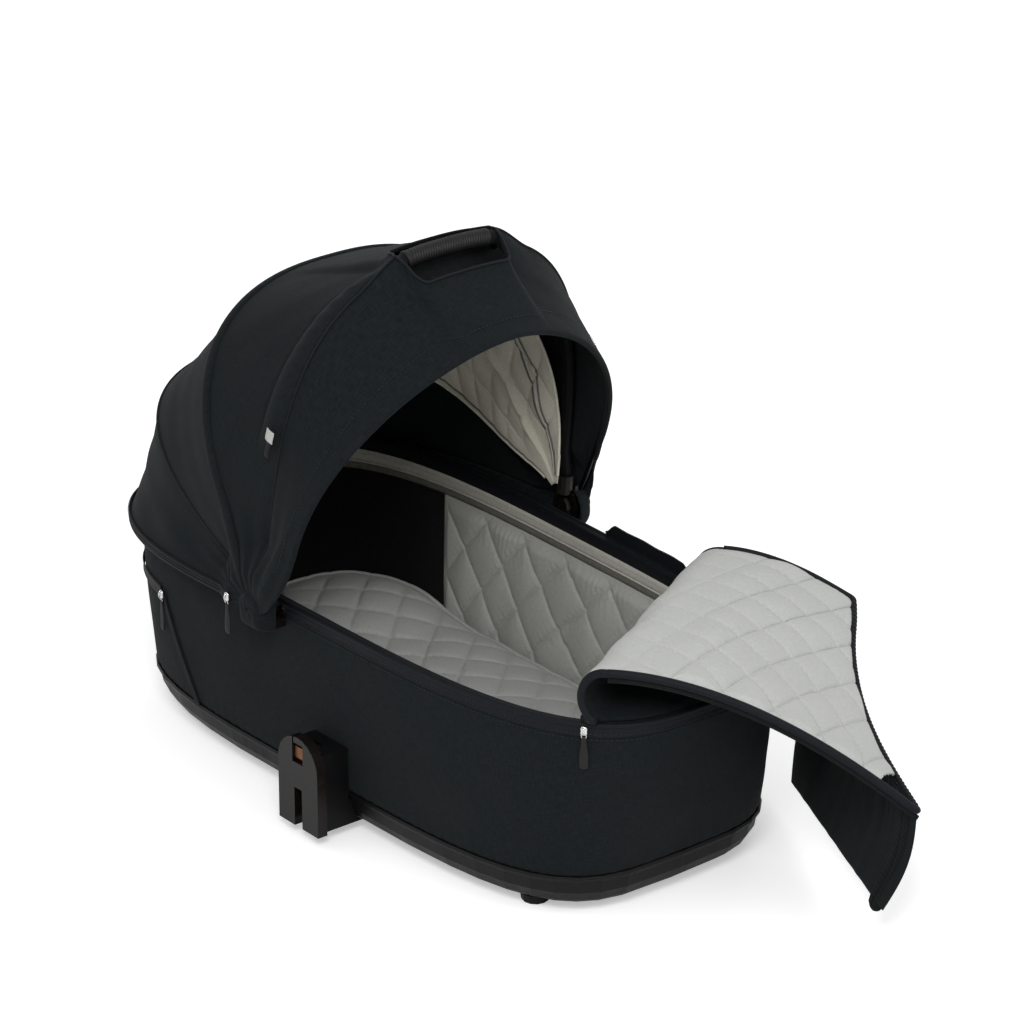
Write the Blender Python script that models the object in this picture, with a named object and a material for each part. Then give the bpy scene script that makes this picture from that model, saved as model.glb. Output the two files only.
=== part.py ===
"""Carrycot with a folding hood, a folded-back apron and two frame adapters.

Frame: +X towards the foot end, -Y the near side, +Z up. The origin is the middle of the
base pan's flat underside, and the feet reach below it. Lengths are in metres.
"""

from math import atan2, ceil, cos, hypot, pi, radians, sin

import bmesh
import bpy
from mathutils import Matrix, Vector

# Fits shared by all pieces
GAP = 0.0004
SKIN = 0.0015
OVERRUN = 0.004
NEAR, FAR = -1, 1

# Tub outline at the rim and at the pan's lip
RIM_HALF_LENGTH = 0.420
RIM_HALF_WIDTH = 0.1866
RIM_HEIGHT = 0.222
RIM_POWER = 3.30
RIM_TAPER_SHARE = 0.041
LIP_HALF_LENGTH = 0.379
LIP_HALF_WIDTH = 0.1883
LIP_HEIGHT = 0.042
LIP_SHIFT = 0.006
LIP_POWER = 3.93
LIP_TAPER_SHARE = 0.043
TUB_STEPS = 40
CORNER_SHARE = 0.25
TANGENT_STEP = 0.02
FLANK_STEPS = 4
ROUND_STEPS = 12

# Base pan, feet and floor board
PAN_FLANK = 0.0285
PAN_WALL = 0.003
PAN_LEDGE = 0.006
LIP_BEAD = 0.0018
LIP_BEAD_HEIGHT = 0.006
LEDGE_HEIGHT = 0.034
FOOT_HEIGHT = 0.008
FOOT_RADIUS = 0.016
FOOT_ROUND = 0.002
FOOT_SPREAD_X = 0.298
FOOT_SPREAD_Y = 0.124
BOARD_THICKNESS = 0.003
BOARD_MARGIN = 0.004

# Walls from the outside to the inside, and the rim
COVER_THICKNESS = 0.002
COVER_BULGE = 0.002
SHELL_INSET = 0.0049
SHELL_THICKNESS = 0.0025
FRAME_TUBE_RADIUS = 0.0043
FRAME_SIDES = 6
BINDING_HEIGHT = 0.015
BINDING_WIDTH = 0.013
BINDING_WALL = 0.0013
BINDING_PROUD = 0.0005
TRIM_HEIGHT = 0.024
TRIM_THICKNESS = 0.0028
LINER_THICKNESS = 0.006
LINER_LEAN = 0.0275
LINER_CLEARANCE = 0.0018
LINER_START_X = -0.200
LINER_JOIN = 0.0016
MESH_THICKNESS = 0.003

# Quilting: the diagonals of one sewn diamond, and how far it swells
DIAMOND_LENGTH = 0.064
DIAMOND_WIDTH = 0.052
QUILT_STEPS = 4
PUFF_ROUNDNESS = 0.6
MATTRESS_PUFF = 0.0045
LINER_PUFF = 0.004
APRON_PUFF = 0.0035

# Mattress
MATTRESS_MARGIN = 0.0475
MATTRESS_HEIGHT = 0.047
MATTRESS_CROWN = 0.007
MATTRESS_PULL = 0.012

# Tape, vent and stud on the cover
TAPE_THICKNESS = 0.0012
TAPE_CLEARANCE = 0.0008
ZIP_TAPE_HEIGHT = 0.014
ZIP_TAPE_START_X = 0.040
ZIP_TAPE_END_X = 0.190
VENT_TOP_X = -0.270
VENT_TOP_HEIGHT = 0.146
VENT_FOOT_X = -0.198
VENT_TAPE_WIDTH = 0.010
VENT_MESH_HEIGHT = 0.012
STUD_X = -0.043
STUD_DROP = 0.0085
STUD_RADIUS = 0.0035

# Hubs: layers along Y from the bracket's disc out to the pin's head
HUB_X = -0.0526
HUB_HEIGHT = 0.220
HUB_DISC_FACE = 0.2036
HUB_DISC_RADIUS = 0.017
HUB_DISC_THICKNESS = 0.003
BRACKET_HALF_WIDTH = 0.016
BRACKET_LOW = 0.196
BRACKET_DROP = 0.014
HANDLE_EYE_THICKNESS = 0.004
SOCKET_OVERLAP = HANDLE_EYE_THICKNESS / 4
EYE_THICKNESS = 0.0024
LAYER_GAP = 0.0003
PIN_RADIUS = 0.004
PIN_CLEARANCE = 0.0003
PIN_HEAD_RADIUS = 0.010
PIN_HEAD_THICKNESS = 0.0022
EYE_RADIUS = 0.011
EYE_OVERLAP_SHARE = 0.7
LINK_WIDTH_SHARE = 0.8
BUTTON_RADIUS = 0.0125
BUTTON_THICKNESS = 0.005
BUTTON_TRAVEL = 0.003
BUTTON_STEM_RADIUS = 0.0024

# Bows: angle from the foot side about the hub axis, half width, reach, roundness, shoulder
HEM_SIDE_OVERHANG = 0.0272
HEM_HEAD_OVERHANG = 0.0078
HEM = {"angle": radians(182.1), "half": RIM_HALF_WIDTH + HEM_SIDE_OVERHANG,
       "reach": RIM_HALF_LENGTH + HUB_X + HEM_HEAD_OVERHANG, "power": 2.67, "shoulder": 0.065}
REAR = {"angle": radians(154.8), "half": 0.2013, "reach": 0.3415, "power": 2.79, "shoulder": 0.071}
MID = {"angle": radians(117.6), "half": 0.2174, "reach": 0.3314, "power": 2.525, "shoulder": 0.111}
HANDLE = {"angle": radians(82.2), "half": 0.2036, "reach": 0.3612, "power": 2.73, "shoulder": 0.071}
VISOR = {"angle": radians(62), "half": 0.214, "reach": 0.342, "power": 1.80, "shoulder": 0.101}
NECK = 0.041
LEG_POINTS = 3
BOW_STEPS = 10
CORNER_WEIGHT = 0.08
BOW_INSET = 0.0045
BOW_WIDTH = 0.008
BOW_THICKNESS = 0.002
VISOR_BOW_WIDTH = 0.005
HANDLE_RADIUS = 0.007
HANDLE_CLEARANCE = 0.0024
HANDLE_START = 0.026
HANDLE_BOSS_RADIUS = 0.0098
HANDLE_BOSS_START = 0.0185
LINK_END = 0.026
TUBE_SIDES = 12
GRIP_RADIUS = 0.0098
GRIP_HALF_LENGTH = 0.054
GRIP_RISE = 0.0175
GRIP_WALL_CLEARANCE = 0.0003

# Hood fabric
HUB_HALF_WIDTH = 0.2235
FABRIC_START = 0.014
SEAM_GAP = 0.0006
PANEL_ROWS = 3
HEM_BAND_HEIGHT = 0.010
HEM_BAND_THICKNESS = 0.0024
HEM_TAPER_SHARE = 0.15
REAR_SAG = 0.010
BACK_SAG = 0.004
CROWN_SAG = 0.001
VISOR_SAG = 0.000
CUTOUT_HALF_WIDTH = 0.060
CUTOUT_EDGE_SHARES = (1.5, 1.25, 1.0)
CUTOUT_BACK_ANGLE = radians(4.2)
CUTOUT_FRONT_ANGLE = radians(6.5)
LINING_BACK_ANGLE = radians(111)
LINING_FRONT_ANGLE = radians(71)
LINING_DROP = 0.0432
LINING_BACK_SHARE = 0.93
LINING_ROWS = 4
LINING_THICKNESS = 0.001
TAG_MARGIN = 0.004
TAG_WIDTH = 0.013
TAG_HEIGHT = 0.026
TAG_THICKNESS = 0.0010
TAG_CENTRE_HEIGHT = 0.408

# Apron: the crest it folds over, its free corners and how it falls
CREST_NEAR_X, CREST_NEAR_Y, CREST_NEAR_HEIGHT = 0.400, -0.118, 0.2825
CREST_FAR_X, CREST_FAR_Y, CREST_FAR_HEIGHT = 0.223, 0.190, 0.2655
TIP_X, TIP_Y, TIP_HEIGHT = 0.606, 0.113, 0.1375
CORNER_X, CORNER_Y, CORNER_HEIGHT = 0.320, 0.285, 0.2145
APRON_THICKNESS = 0.004
APRON_FALL_POWER = 1.8
APRON_EDGE_PULL = 0.024
APRON_SAG = 0.006
ROLL_DEPTH = 0.026
ROLL_TURN = radians(150)
ROLL_STEPS = 6
BASE_STEPS = 3
APRON_COLUMNS = 20
APRON_ROWS = 16
EDGE_CORD_RADIUS = 0.0034
CORD_SIDES = 6
HINGE_SLIT = 0.0016
EDGE_GAP = 0.0007
FLAP_SEAM_GAP = 0.0010
FLAP_THICKNESS = 0.0035
FLAP_LOW_NEAR_X, FLAP_LOW_NEAR_Y, FLAP_LOW_NEAR_HEIGHT = 0.598, 0.078, 0.036
FLAP_LOW_FAR_X, FLAP_LOW_FAR_Y, FLAP_LOW_FAR_HEIGHT = 0.308, 0.220, 0.042
FLAP_BELLY = 0.012
FLAP_END_SHARE = 0.96
FLAP_COLUMNS = 11
FLAP_ROWS = 5

# Zip sliders and their pull tabs
SLIDER_WIDTH = 0.0075
SLIDER_HEIGHT = 0.010
SLIDER_DEPTH = 0.0045
PULL_WIDTH = 0.009
PULL_LENGTH = 0.036
PULL_THICKNESS = 0.0022
PULL_GAP = 0.0007
SLIDER_SHOULDER_SHARE = 0.6
SLIDER_FACE_SHARE = 0.6
PULL_TOP_SHARE = 0.5
PULL_SHARES = ((0.62, 0.15), (1.0, 0.75), (0.8, 0.93), (0.4, 1.0))
APRON_SLIDER_X = 0.376
HEM_SLIDER_REACH = 0.036
VENT_SLIDER_LIFT = 0.0007

# Frame adapters
ADAPTER_X = 0.0405
ADAPTER_HALF_WIDTH = 0.034
ADAPTER_FACE = 0.2335
ADAPTER_PLATE = 0.012
ADAPTER_LOW = 0.0045
ADAPTER_TOP = 0.109
SLOT_HALF_WIDTH = 0.0065
SLOT_HEIGHT = 0.045
NOTCH_HALF_WIDTH = 0.009
NOTCH_DEPTH = 0.030
ARM_HALF_WIDTH = 0.0275
ARM_TOP = 0.094
ARM_POCKET_DEPTH = 0.016
LATCH_LOW_SHARE = 0.06
LATCH_HIGH_SHARE = 0.58
LATCH_RECESS = 0.003
LATCH_DEPTH = 0.006
KEY_HIGH_SHARE = 0.97
KEY_LOW_SHARE = 0.72
KEY_ARCH_SHARE = 0.75
KEY_STEPS = 6
SPRING_RADIUS = 0.0035
SPRING_WALL = 0.0010
SCREW_RADIUS = 0.002
SCREW_HEAD_RADIUS = 0.0038
SCREW_HEAD_HEIGHT = 0.002
SCREW_LENGTH = 0.018
SCREW_SPACING = 0.030
SCREW_HEIGHT = 0.022

COLOURS = {
    "black_fabric": ((0.016, 0.019, 0.022), 0.85, 0.0),
    "black_tape": ((0.010, 0.012, 0.016), 0.60, 0.0),
    "pan_plastic": ((0.018, 0.018, 0.021), 0.45, 0.0),
    "gloss_plastic": ((0.028, 0.026, 0.025), 0.25, 0.0),
    "rubber": ((0.012, 0.012, 0.013), 0.80, 0.0),
    "grey_liner": ((0.300, 0.300, 0.290), 0.90, 0.0),
    "mattress": ((0.370, 0.370, 0.365), 0.90, 0.0),
    "apron_lining": ((0.420, 0.420, 0.405), 0.90, 0.0),
    "taupe_trim": ((0.230, 0.222, 0.200), 0.90, 0.0),
    "mesh": ((0.008, 0.008, 0.009), 0.95, 0.0),
    "aluminium": ((0.300, 0.300, 0.310), 0.35, 1.0),
    "steel": ((0.450, 0.450, 0.460), 0.30, 1.0),
    "chrome": ((0.800, 0.800, 0.800), 0.12, 1.0),
    "copper": ((0.330, 0.170, 0.090), 0.40, 0.6),
    "board": ((0.250, 0.210, 0.170), 0.80, 0.0),
    "shell": ((0.050, 0.050, 0.055), 0.60, 0.0),
    "label": ((0.550, 0.550, 0.520), 0.80, 0.0),
}


def lerp(low, high, share):
    return low + (high - low) * share


def smooth(share):
    share = min(max(share, 0.0), 1.0)
    return share * share * (3 - 2 * share)


def bent(value, power):
    """Signed power that turns a circle's sine or cosine into a superellipse's."""
    return (1 if value >= 0 else -1) * abs(value) ** (2 / power)


# Meshes


def finish(mesh):
    """Turn all faces outwards."""
    bmesh.ops.recalc_face_normals(mesh, faces=mesh.faces)
    if mesh.calc_volume(signed=True) < 0:
        bmesh.ops.reverse_faces(mesh, faces=mesh.faces)
    return mesh


def skin(rings, closed=False, strip_caps=False):
    """Closed mesh over rings of points. Its ends are capped, or joined when closed."""
    mesh = bmesh.new()
    rows = [[mesh.verts.new(point) for point in ring] for ring in rings]
    count = len(rows[0])
    pairs = list(zip(rows, rows[1:]))
    if closed:
        pairs.append((rows[-1], rows[0]))
    for first, second in pairs:
        for i in range(count):
            j = (i + 1) % count
            mesh.faces.new((first[i], first[j], second[j], second[i]))
    if not closed:
        for row in (rows[0], rows[-1]):
            if strip_caps:
                for k in range(count // 2 - 1):
                    mesh.faces.new((row[k], row[k + 1], row[count - 2 - k], row[count - 1 - k]))
            else:
                mesh.faces.new(row)
    return finish(mesh)


def plate(front, back):
    """Solid between two equal grids of points, split along the diagonals of a quilt."""
    mesh = bmesh.new()
    sheets = [[[mesh.verts.new(point) for point in row] for row in grid] for grid in (front, back)]
    rows, columns = len(front), len(front[0])
    for sheet in sheets:
        for i in range(rows - 1):
            for j in range(columns - 1):
                a, b = sheet[i][j], sheet[i][j + 1]
                c, d = sheet[i + 1][j + 1], sheet[i + 1][j]
                if (i + j) % 2 == 0:
                    mesh.faces.new((a, b, c))
                    mesh.faces.new((a, c, d))
                else:
                    mesh.faces.new((a, b, d))
                    mesh.faces.new((b, c, d))
    border = [(0, j) for j in range(columns)]
    border += [(i, columns - 1) for i in range(1, rows)]
    border += [(rows - 1, j) for j in range(columns - 2, -1, -1)]
    border += [(i, 0) for i in range(rows - 2, 0, -1)]
    for (i, j), (k, m) in zip(border, border[1:] + border[:1]):
        mesh.faces.new((sheets[0][i][j], sheets[0][k][m], sheets[1][k][m], sheets[1][i][j]))
    return finish(mesh)


def normals(grid):
    """Unit normals of a grid of points, from its neighbours."""
    rows, columns = len(grid), len(grid[0])
    result = []
    for i in range(rows):
        line = []
        for j in range(columns):
            down = Vector(grid[min(i + 1, rows - 1)][j]) - Vector(grid[max(i - 1, 0)][j])
            along = Vector(grid[i][min(j + 1, columns - 1)]) - Vector(grid[i][max(j - 1, 0)])
            line.append(down.cross(along).normalized())
        result.append(line)
    return result


def offset(grid, directions, distance):
    """The grid moved along its normals; distance is a number or a function of row and column."""
    far = distance if callable(distance) else (lambda i, j: distance)
    return [[Vector(p) + n * far(i, j) for j, (p, n) in enumerate(zip(line, unit))]
            for i, (line, unit) in enumerate(zip(grid, directions))]


def disc(side, low, high, radius, bore=0.0, centre=(HUB_X, HUB_HEIGHT)):
    """Round piece about an axis along Y, from low to high out from the middle, with a bore."""
    turns = [2 * pi * k / ROUND_STEPS for k in range(ROUND_STEPS)]

    def circle(distance, size):
        return [(centre[0] + size * cos(a), side * distance, centre[1] + size * sin(a)) for a in turns]

    if not bore:
        return skin([circle(low, radius), circle(high, radius)])
    rings = [circle(low, radius), circle(high, radius), circle(high, bore), circle(low, bore)]
    return skin(rings, closed=True)


def block(low, high):
    """Box between two corners."""
    x0, x1 = sorted((low[0], high[0]))
    y0, y1 = sorted((low[1], high[1]))
    z0, z1 = sorted((low[2], high[2]))
    return skin([[(x0, y0, z), (x1, y0, z), (x1, y1, z), (x0, y1, z)] for z in (z0, z1)])


def sweep(points, across, half_width, half_depth, sides=0):
    """Bar or, with sides, a tube along points that lie in a plane whose normal is across."""
    rings = []
    across = Vector(across).normalized()
    for i, point in enumerate(points):
        ahead = Vector(points[min(i + 1, len(points) - 1)]) - Vector(points[max(i - 1, 0)])
        inward = ahead.cross(across).normalized()
        if sides:
            turns = [2 * pi * k / sides for k in range(sides)]
            pairs = [(half_width * cos(a), half_depth * sin(a)) for a in turns]
        else:
            pairs = [(half_width, half_depth), (-half_width, half_depth),
                     (-half_width, -half_depth), (half_width, -half_depth)]
        rings.append([Vector(point) + across * w + inward * d for w, d in pairs])
    return rings


def boolean(first, second, operation):
    """Exact union or difference of two closed meshes, as a new mesh."""
    pair = []
    for mesh in (first, second):
        data = bpy.data.meshes.new("tool")
        mesh.to_mesh(data)
        mesh.free()
        pair.append(bpy.data.objects.new("tool", data))
        bpy.context.scene.collection.objects.link(pair[-1])
    modifier = pair[0].modifiers.new("cut", "BOOLEAN")
    modifier.operation = operation
    modifier.object = pair[1]
    bpy.context.view_layer.update()
    evaluated = pair[0].evaluated_get(bpy.context.evaluated_depsgraph_get())
    result = bmesh.new()
    result.from_mesh(evaluated.to_mesh())
    for thing in pair:
        data = thing.data
        bpy.data.objects.remove(thing)
        bpy.data.meshes.remove(data)
    return finish(result)


# Tub outline


def tub_point(angle, height, inset=0.0, z=None):
    """Point of the tub's wall at an outline angle and a height, inset inwards."""
    rise = min(max((height - LIP_HEIGHT) / (RIM_HEIGHT - LIP_HEIGHT), 0.0), 1.0)
    a = lerp(LIP_HALF_LENGTH, RIM_HALF_LENGTH, rise)
    b = lerp(LIP_HALF_WIDTH, RIM_HALF_WIDTH, rise)
    power = lerp(LIP_POWER, RIM_POWER, rise)
    taper = lerp(LIP_TAPER_SHARE, RIM_TAPER_SHARE, rise)
    x = (a - inset) * bent(cos(angle), power)
    y = (b - inset) * bent(sin(angle), power) * (1 - taper * x / a)
    return Vector((x + LIP_SHIFT * (1 - rise), y, height if z is None else z))


def angle_at(x, side, height):
    """Outline angle at a place along X on one side."""
    low, high = 0.0, pi
    for _ in range(40):
        middle = (low + high) / 2
        if tub_point(middle, height)[0] > x:
            low = middle
        else:
            high = middle
    return side * low


def wall_y(x, side, height, inset=0.0):
    """Distance out from the middle to the tub's faceted wall at a place along X."""
    points = [tub_point(angle, height, inset) for angle in whole_turn()]
    for p, q in zip(points, points[1:] + points[:1]):
        if side * (p[1] + q[1]) > 0 and min(p[0], q[0]) <= x <= max(p[0], q[0]):
            return abs(lerp(p[1], q[1], (x - p[0]) / (q[0] - p[0])))
    return 0.0


def facet_angles(start, end):
    """The outline's own corners between two angles, with both ends."""
    step = 2 * pi / TUB_STEPS
    first, last = start + step * CORNER_SHARE, end - step * CORNER_SHARE
    inner = [step * k for k in range(-TUB_STEPS, 2 * TUB_STEPS) if first < step * k < last]
    return [start] + inner + [end]


def even_angles(start, end, height, spacing):
    """Outline angles from start to end, an equal distance apart."""
    fine = 400
    angles = [lerp(start, end, k / fine) for k in range(fine + 1)]
    points = [tub_point(angle, height) for angle in angles]
    length = [0.0]
    for first, second in zip(points, points[1:]):
        length.append(length[-1] + (second - first).length)
    count = max(2, round(length[-1] / spacing))
    result, k = [], 0
    for step in range(count + 1):
        goal = length[-1] * step / count
        while k < fine - 1 and length[k + 1] < goal:
            k += 1
        share = (goal - length[k]) / (length[k + 1] - length[k])
        result.append(lerp(angles[k], angles[k + 1], min(share, 1.0)))
    return result


def whole_turn():
    return [2 * pi * k / TUB_STEPS for k in range(TUB_STEPS)]


def ring(profile, angles=None):
    """Solid whose cross-section is a loop of (height, inset) pairs, all round or between angles."""
    turns = whole_turn() if angles is None else angles
    rings = [[tub_point(angle, height, inset) for height, inset in profile] for angle in turns]
    return skin(rings, closed=angles is None)


# Base


def flank_turns():
    return [radians(90) * k / FLANK_STEPS for k in range(FLANK_STEPS + 1)]


def flank(turn, inset, depth, low, high):
    """Place on the pan's rounded flank, from its foot at turn 0 to its top at a quarter turn."""
    return lerp(low, high, 1 - cos(turn)), inset - depth * sin(turn)


def outer_flank(turn):
    return flank(turn, PAN_FLANK + SKIN, PAN_FLANK, 0.0, LEDGE_HEIGHT)


def inner_flank(turn):
    start = PAN_FLANK + SKIN + PAN_WALL
    end = SHELL_INSET - GAP + PAN_LEDGE
    return flank(turn, start, start - end, PAN_WALL, LEDGE_HEIGHT)


def base_pan():
    turns = flank_turns()
    top = LIP_HEIGHT
    bead = top - LIP_BEAD_HEIGHT
    wall = SHELL_INSET - GAP
    profile = [outer_flank(turn) for turn in turns]
    profile += [(bead, -LIP_BEAD / 2), (top - LIP_BEAD_HEIGHT / 2, -LIP_BEAD),
                (top, -LIP_BEAD / 2), (top, wall), (LEDGE_HEIGHT, wall)]
    profile += [inner_flank(turn) for turn in reversed(turns)]
    rings = []
    for height, inset in profile:
        rings.append([tub_point(angle, height, inset) for angle in whole_turn()])
    pan = skin(rings)
    for side in (NEAR, FAR):
        for x in (-FOOT_SPREAD_X, FOOT_SPREAD_X):
            pan = boolean(pan, foot(x, side * FOOT_SPREAD_Y), "UNION")
        for x in screw_places():
            pan = boolean(pan, screw_hole(side, x), "DIFFERENCE")
    return pan


def foot(x, y):
    levels = ((PAN_WALL / 2, FOOT_RADIUS), (-FOOT_HEIGHT + FOOT_ROUND, FOOT_RADIUS - FOOT_ROUND / 2),
              (-FOOT_HEIGHT, FOOT_RADIUS - FOOT_ROUND))
    rings = []
    for z, radius in levels:
        turns = [2 * pi * k / ROUND_STEPS for k in range(ROUND_STEPS)]
        rings.append([(x + radius * cos(turn), y + radius * sin(turn), z) for turn in turns])
    return skin(rings)


def board_inset():
    return PAN_FLANK + SKIN + PAN_WALL + BOARD_MARGIN


def floor_board():
    levels = (PAN_WALL + GAP, PAN_WALL + GAP + BOARD_THICKNESS)
    return skin([[tub_point(a, LIP_HEIGHT, board_inset(), z) for a in whole_turn()] for z in levels])


def mattress_base():
    return PAN_WALL + BOARD_THICKNESS + 2 * GAP


def puff(i, j):
    """Share of a diamond's swell at a place on the quilt's grid, four steps to a diamond."""
    return abs(sin(pi * (i + j) / QUILT_STEPS) * sin(pi * (i - j) / QUILT_STEPS)) ** PUFF_ROUNDNESS


def mattress():
    """Quilted pad: crowned, its sides drawn in, sewn through in diamonds, flat below."""
    half_x = LIP_HALF_LENGTH - MATTRESS_MARGIN
    half_y = LIP_HALF_WIDTH - MATTRESS_MARGIN
    step_x, step_y = DIAMOND_LENGTH / QUILT_STEPS, DIAMOND_WIDTH / QUILT_STEPS
    columns = ceil(half_x / step_x) + 1
    rows = ceil(half_y / step_y) + 1
    low = mattress_base()
    top, bottom = [], []
    for i in range(-columns, columns + 1):
        line = []
        for j in range(-rows, rows + 1):
            x, y = i * step_x, j * step_y
            edge = min(1.0, hypot(abs(x / half_x) ** LIP_POWER, abs(y / half_y) ** LIP_POWER))
            height = low + MATTRESS_HEIGHT + MATTRESS_CROWN * (1 - abs(y / half_y) ** 2 / 2)
            height += MATTRESS_PUFF * puff(i, j) - MATTRESS_PULL * edge ** 2
            line.append((x + LIP_SHIFT, y, height))
        top.append(line)
        bottom.append([(x, y, low - OVERRUN) for x, y, _ in line])
    outline = [[tub_point(a, LIP_HEIGHT, MATTRESS_MARGIN, z) for a in whole_turn()]
               for z in (low, low + 2 * MATTRESS_HEIGHT)]
    return boolean(plate(top, bottom), skin(outline), "INTERSECT")


# Walls and rim


def side_shell():
    low, high = LEDGE_HEIGHT + GAP, frame_height() - FRAME_TUBE_RADIUS - GAP
    levels = [low, LIP_HEIGHT, high]
    inner = SHELL_INSET + SHELL_THICKNESS
    return ring([(z, SHELL_INSET) for z in levels] + [(z, inner) for z in reversed(levels)])


def frame_height():
    return RIM_HEIGHT - BINDING_WALL - GAP - FRAME_TUBE_RADIUS


def frame_inset():
    return SHELL_INSET + SHELL_THICKNESS / 2


def rim_frame():
    turns = [2 * pi * k / FRAME_SIDES for k in range(FRAME_SIDES)]
    return ring([(frame_height() + FRAME_TUBE_RADIUS * sin(a), frame_inset() + FRAME_TUBE_RADIUS * cos(a))
                 for a in turns])


def body_cover():
    low, high = LIP_HEIGHT + GAP, RIM_HEIGHT - BINDING_HEIGHT - GAP
    heights = [lerp(low, high, share) for share in (0.0, 0.5, 1.0)]
    outer = [(z, -COVER_BULGE * sin(pi * (z - low) / (high - low))) for z in heights]
    inner = [(z, inset + COVER_THICKNESS) for z, inset in reversed(outer)]
    return ring(outer + inner)


def rim_binding():
    low, round_off = RIM_HEIGHT - BINDING_HEIGHT, BINDING_WALL * 2
    outer, inner = -BINDING_PROUD, BINDING_WIDTH - BINDING_PROUD
    roof = RIM_HEIGHT - BINDING_WALL
    return ring([(low, outer), (RIM_HEIGHT - round_off, outer), (RIM_HEIGHT, outer + round_off),
                 (RIM_HEIGHT, inner - round_off), (RIM_HEIGHT - round_off, inner), (low, inner),
                 (low, inner - BINDING_WALL), (roof, inner - BINDING_WALL),
                 (roof, outer + BINDING_WALL), (low, outer + BINDING_WALL)])


def trim_levels():
    high = RIM_HEIGHT - BINDING_HEIGHT - GAP
    return high - TRIM_HEIGHT, high


def liner_trim():
    low, high = trim_levels()
    inner = BINDING_WIDTH - BINDING_PROUD
    outer = inner - TRIM_THICKNESS
    return ring([(low, outer), (high, outer), (high, inner), (low, inner)])


def liner_inset(z):
    """Inset of the liner's hidden face: it leans inwards to the floor board's edge."""
    low, high = mattress_base(), trim_levels()[0]
    start = SHELL_INSET + SHELL_THICKNESS + LINER_CLEARANCE
    return start + LINER_LEAN * (1 - (z - low) / (high - low))


def liner():
    """Quilted lining from the head panel round the foot end."""
    low, high = mattress_base(), trim_levels()[0] - GAP
    start = angle_at(LINER_START_X, NEAR, RIM_HEIGHT)
    end = angle_at(LINER_START_X, FAR, RIM_HEIGHT)
    angles = even_angles(start, end, RIM_HEIGHT, DIAMOND_LENGTH / 2)
    rows = round((high - low) / (DIAMOND_WIDTH / 2))
    levels = [lerp(low, high, k / rows) for k in range(rows + 1)]
    front, back = [], []
    for i, angle in enumerate(angles):
        inside = []
        for j, z in enumerate(levels):
            swell = LINER_PUFF * ((i + j) % 2) * (0 < j < rows)
            inside.append(tub_point(angle, z, liner_inset(z) + LINER_THICKNESS + swell))
        front.append(inside)
        back.append([tub_point(angle, z, liner_inset(z)) for z in levels])
    return plate(front, back)


def head_mesh():
    """Breathing mesh that lines the head end, from one end of the liner to the other."""
    low, high = mattress_base(), trim_levels()[0] - GAP
    start = angle_at(LINER_START_X - LINER_JOIN, FAR, RIM_HEIGHT)
    end = 2 * pi + angle_at(LINER_START_X - LINER_JOIN, NEAR, RIM_HEIGHT)
    outer = [(z, liner_inset(z)) for z in (low, LIP_HEIGHT, high)]
    inner = [(z, inset + MESH_THICKNESS) for z, inset in reversed(outer)]
    return ring(outer + inner, facet_angles(start, end))


def zip_tape():
    """Half of the apron's zip, standing on the far rim where the apron is undone."""
    start = angle_at(ZIP_TAPE_END_X, FAR, RIM_HEIGHT)
    end = angle_at(ZIP_TAPE_START_X, FAR, RIM_HEIGHT)
    low = RIM_HEIGHT + GAP
    rings = []
    for angle in facet_angles(start, end):
        outer = BINDING_WALL * 2
        inner = outer + TAPE_THICKNESS
        high = low + ZIP_TAPE_HEIGHT
        rings.append([tub_point(angle, RIM_HEIGHT, inset, z)
                      for z, inset in ((low, outer), (high, outer), (high, inner), (low, inner))])
    return skin(rings)


def cover_lift(height):
    """How far the cover's outer face stands outside the tub's outline, with a gap."""
    low, high = LIP_HEIGHT + GAP, RIM_HEIGHT - BINDING_HEIGHT - GAP
    return COVER_BULGE * sin(pi * min(max((height - low) / (high - low), 0), 1)) + GAP


def vent_place(share):
    """Place along the vent's tape, from its top at share 0 to its foot at share 1."""
    return lerp(VENT_TOP_X, VENT_FOOT_X, share), lerp(VENT_TOP_HEIGHT, LIP_HEIGHT + GAP * 2, share)


def vent_tape():
    rings = []
    for share in [k / 6 for k in range(7)]:
        x, height = vent_place(share)
        corners = []
        for lift, way in ((0, -1), (0, 1), (1, 1), (1, -1)):
            angle = angle_at(x + way * VENT_TAPE_WIDTH / 2, NEAR, height)
            corners.append(tub_point(angle, height, -cover_lift(height) - lift * TAPE_THICKNESS))
        rings.append(corners)
    return skin(rings)


def vent_mesh():
    """Narrow mesh window round the head end, from the vent's tape to the far side."""
    low, high = VENT_TOP_HEIGHT - VENT_MESH_HEIGHT / 2, VENT_TOP_HEIGHT + VENT_MESH_HEIGHT / 2
    edge = VENT_TOP_X - VENT_TAPE_WIDTH
    start = angle_at(edge, FAR, VENT_TOP_HEIGHT)
    end = 2 * pi + angle_at(edge, NEAR, VENT_TOP_HEIGHT)
    angles = facet_angles(start, end)
    profile = [(low, -cover_lift(low)), (high, -cover_lift(high)),
               (high, -cover_lift(high) - TAPE_THICKNESS), (low, -cover_lift(low) - TAPE_THICKNESS)]
    return ring(profile, angles)


def rim_stud():
    centre = (STUD_X, RIM_HEIGHT - STUD_DROP)
    face = -tub_point(angle_at(STUD_X, NEAR, RIM_HEIGHT), RIM_HEIGHT, -BINDING_PROUD)[1]
    return disc(NEAR, face + GAP, face + GAP + STUD_RADIUS / 2, STUD_RADIUS, 0.0, centre)


# Hubs


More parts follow.
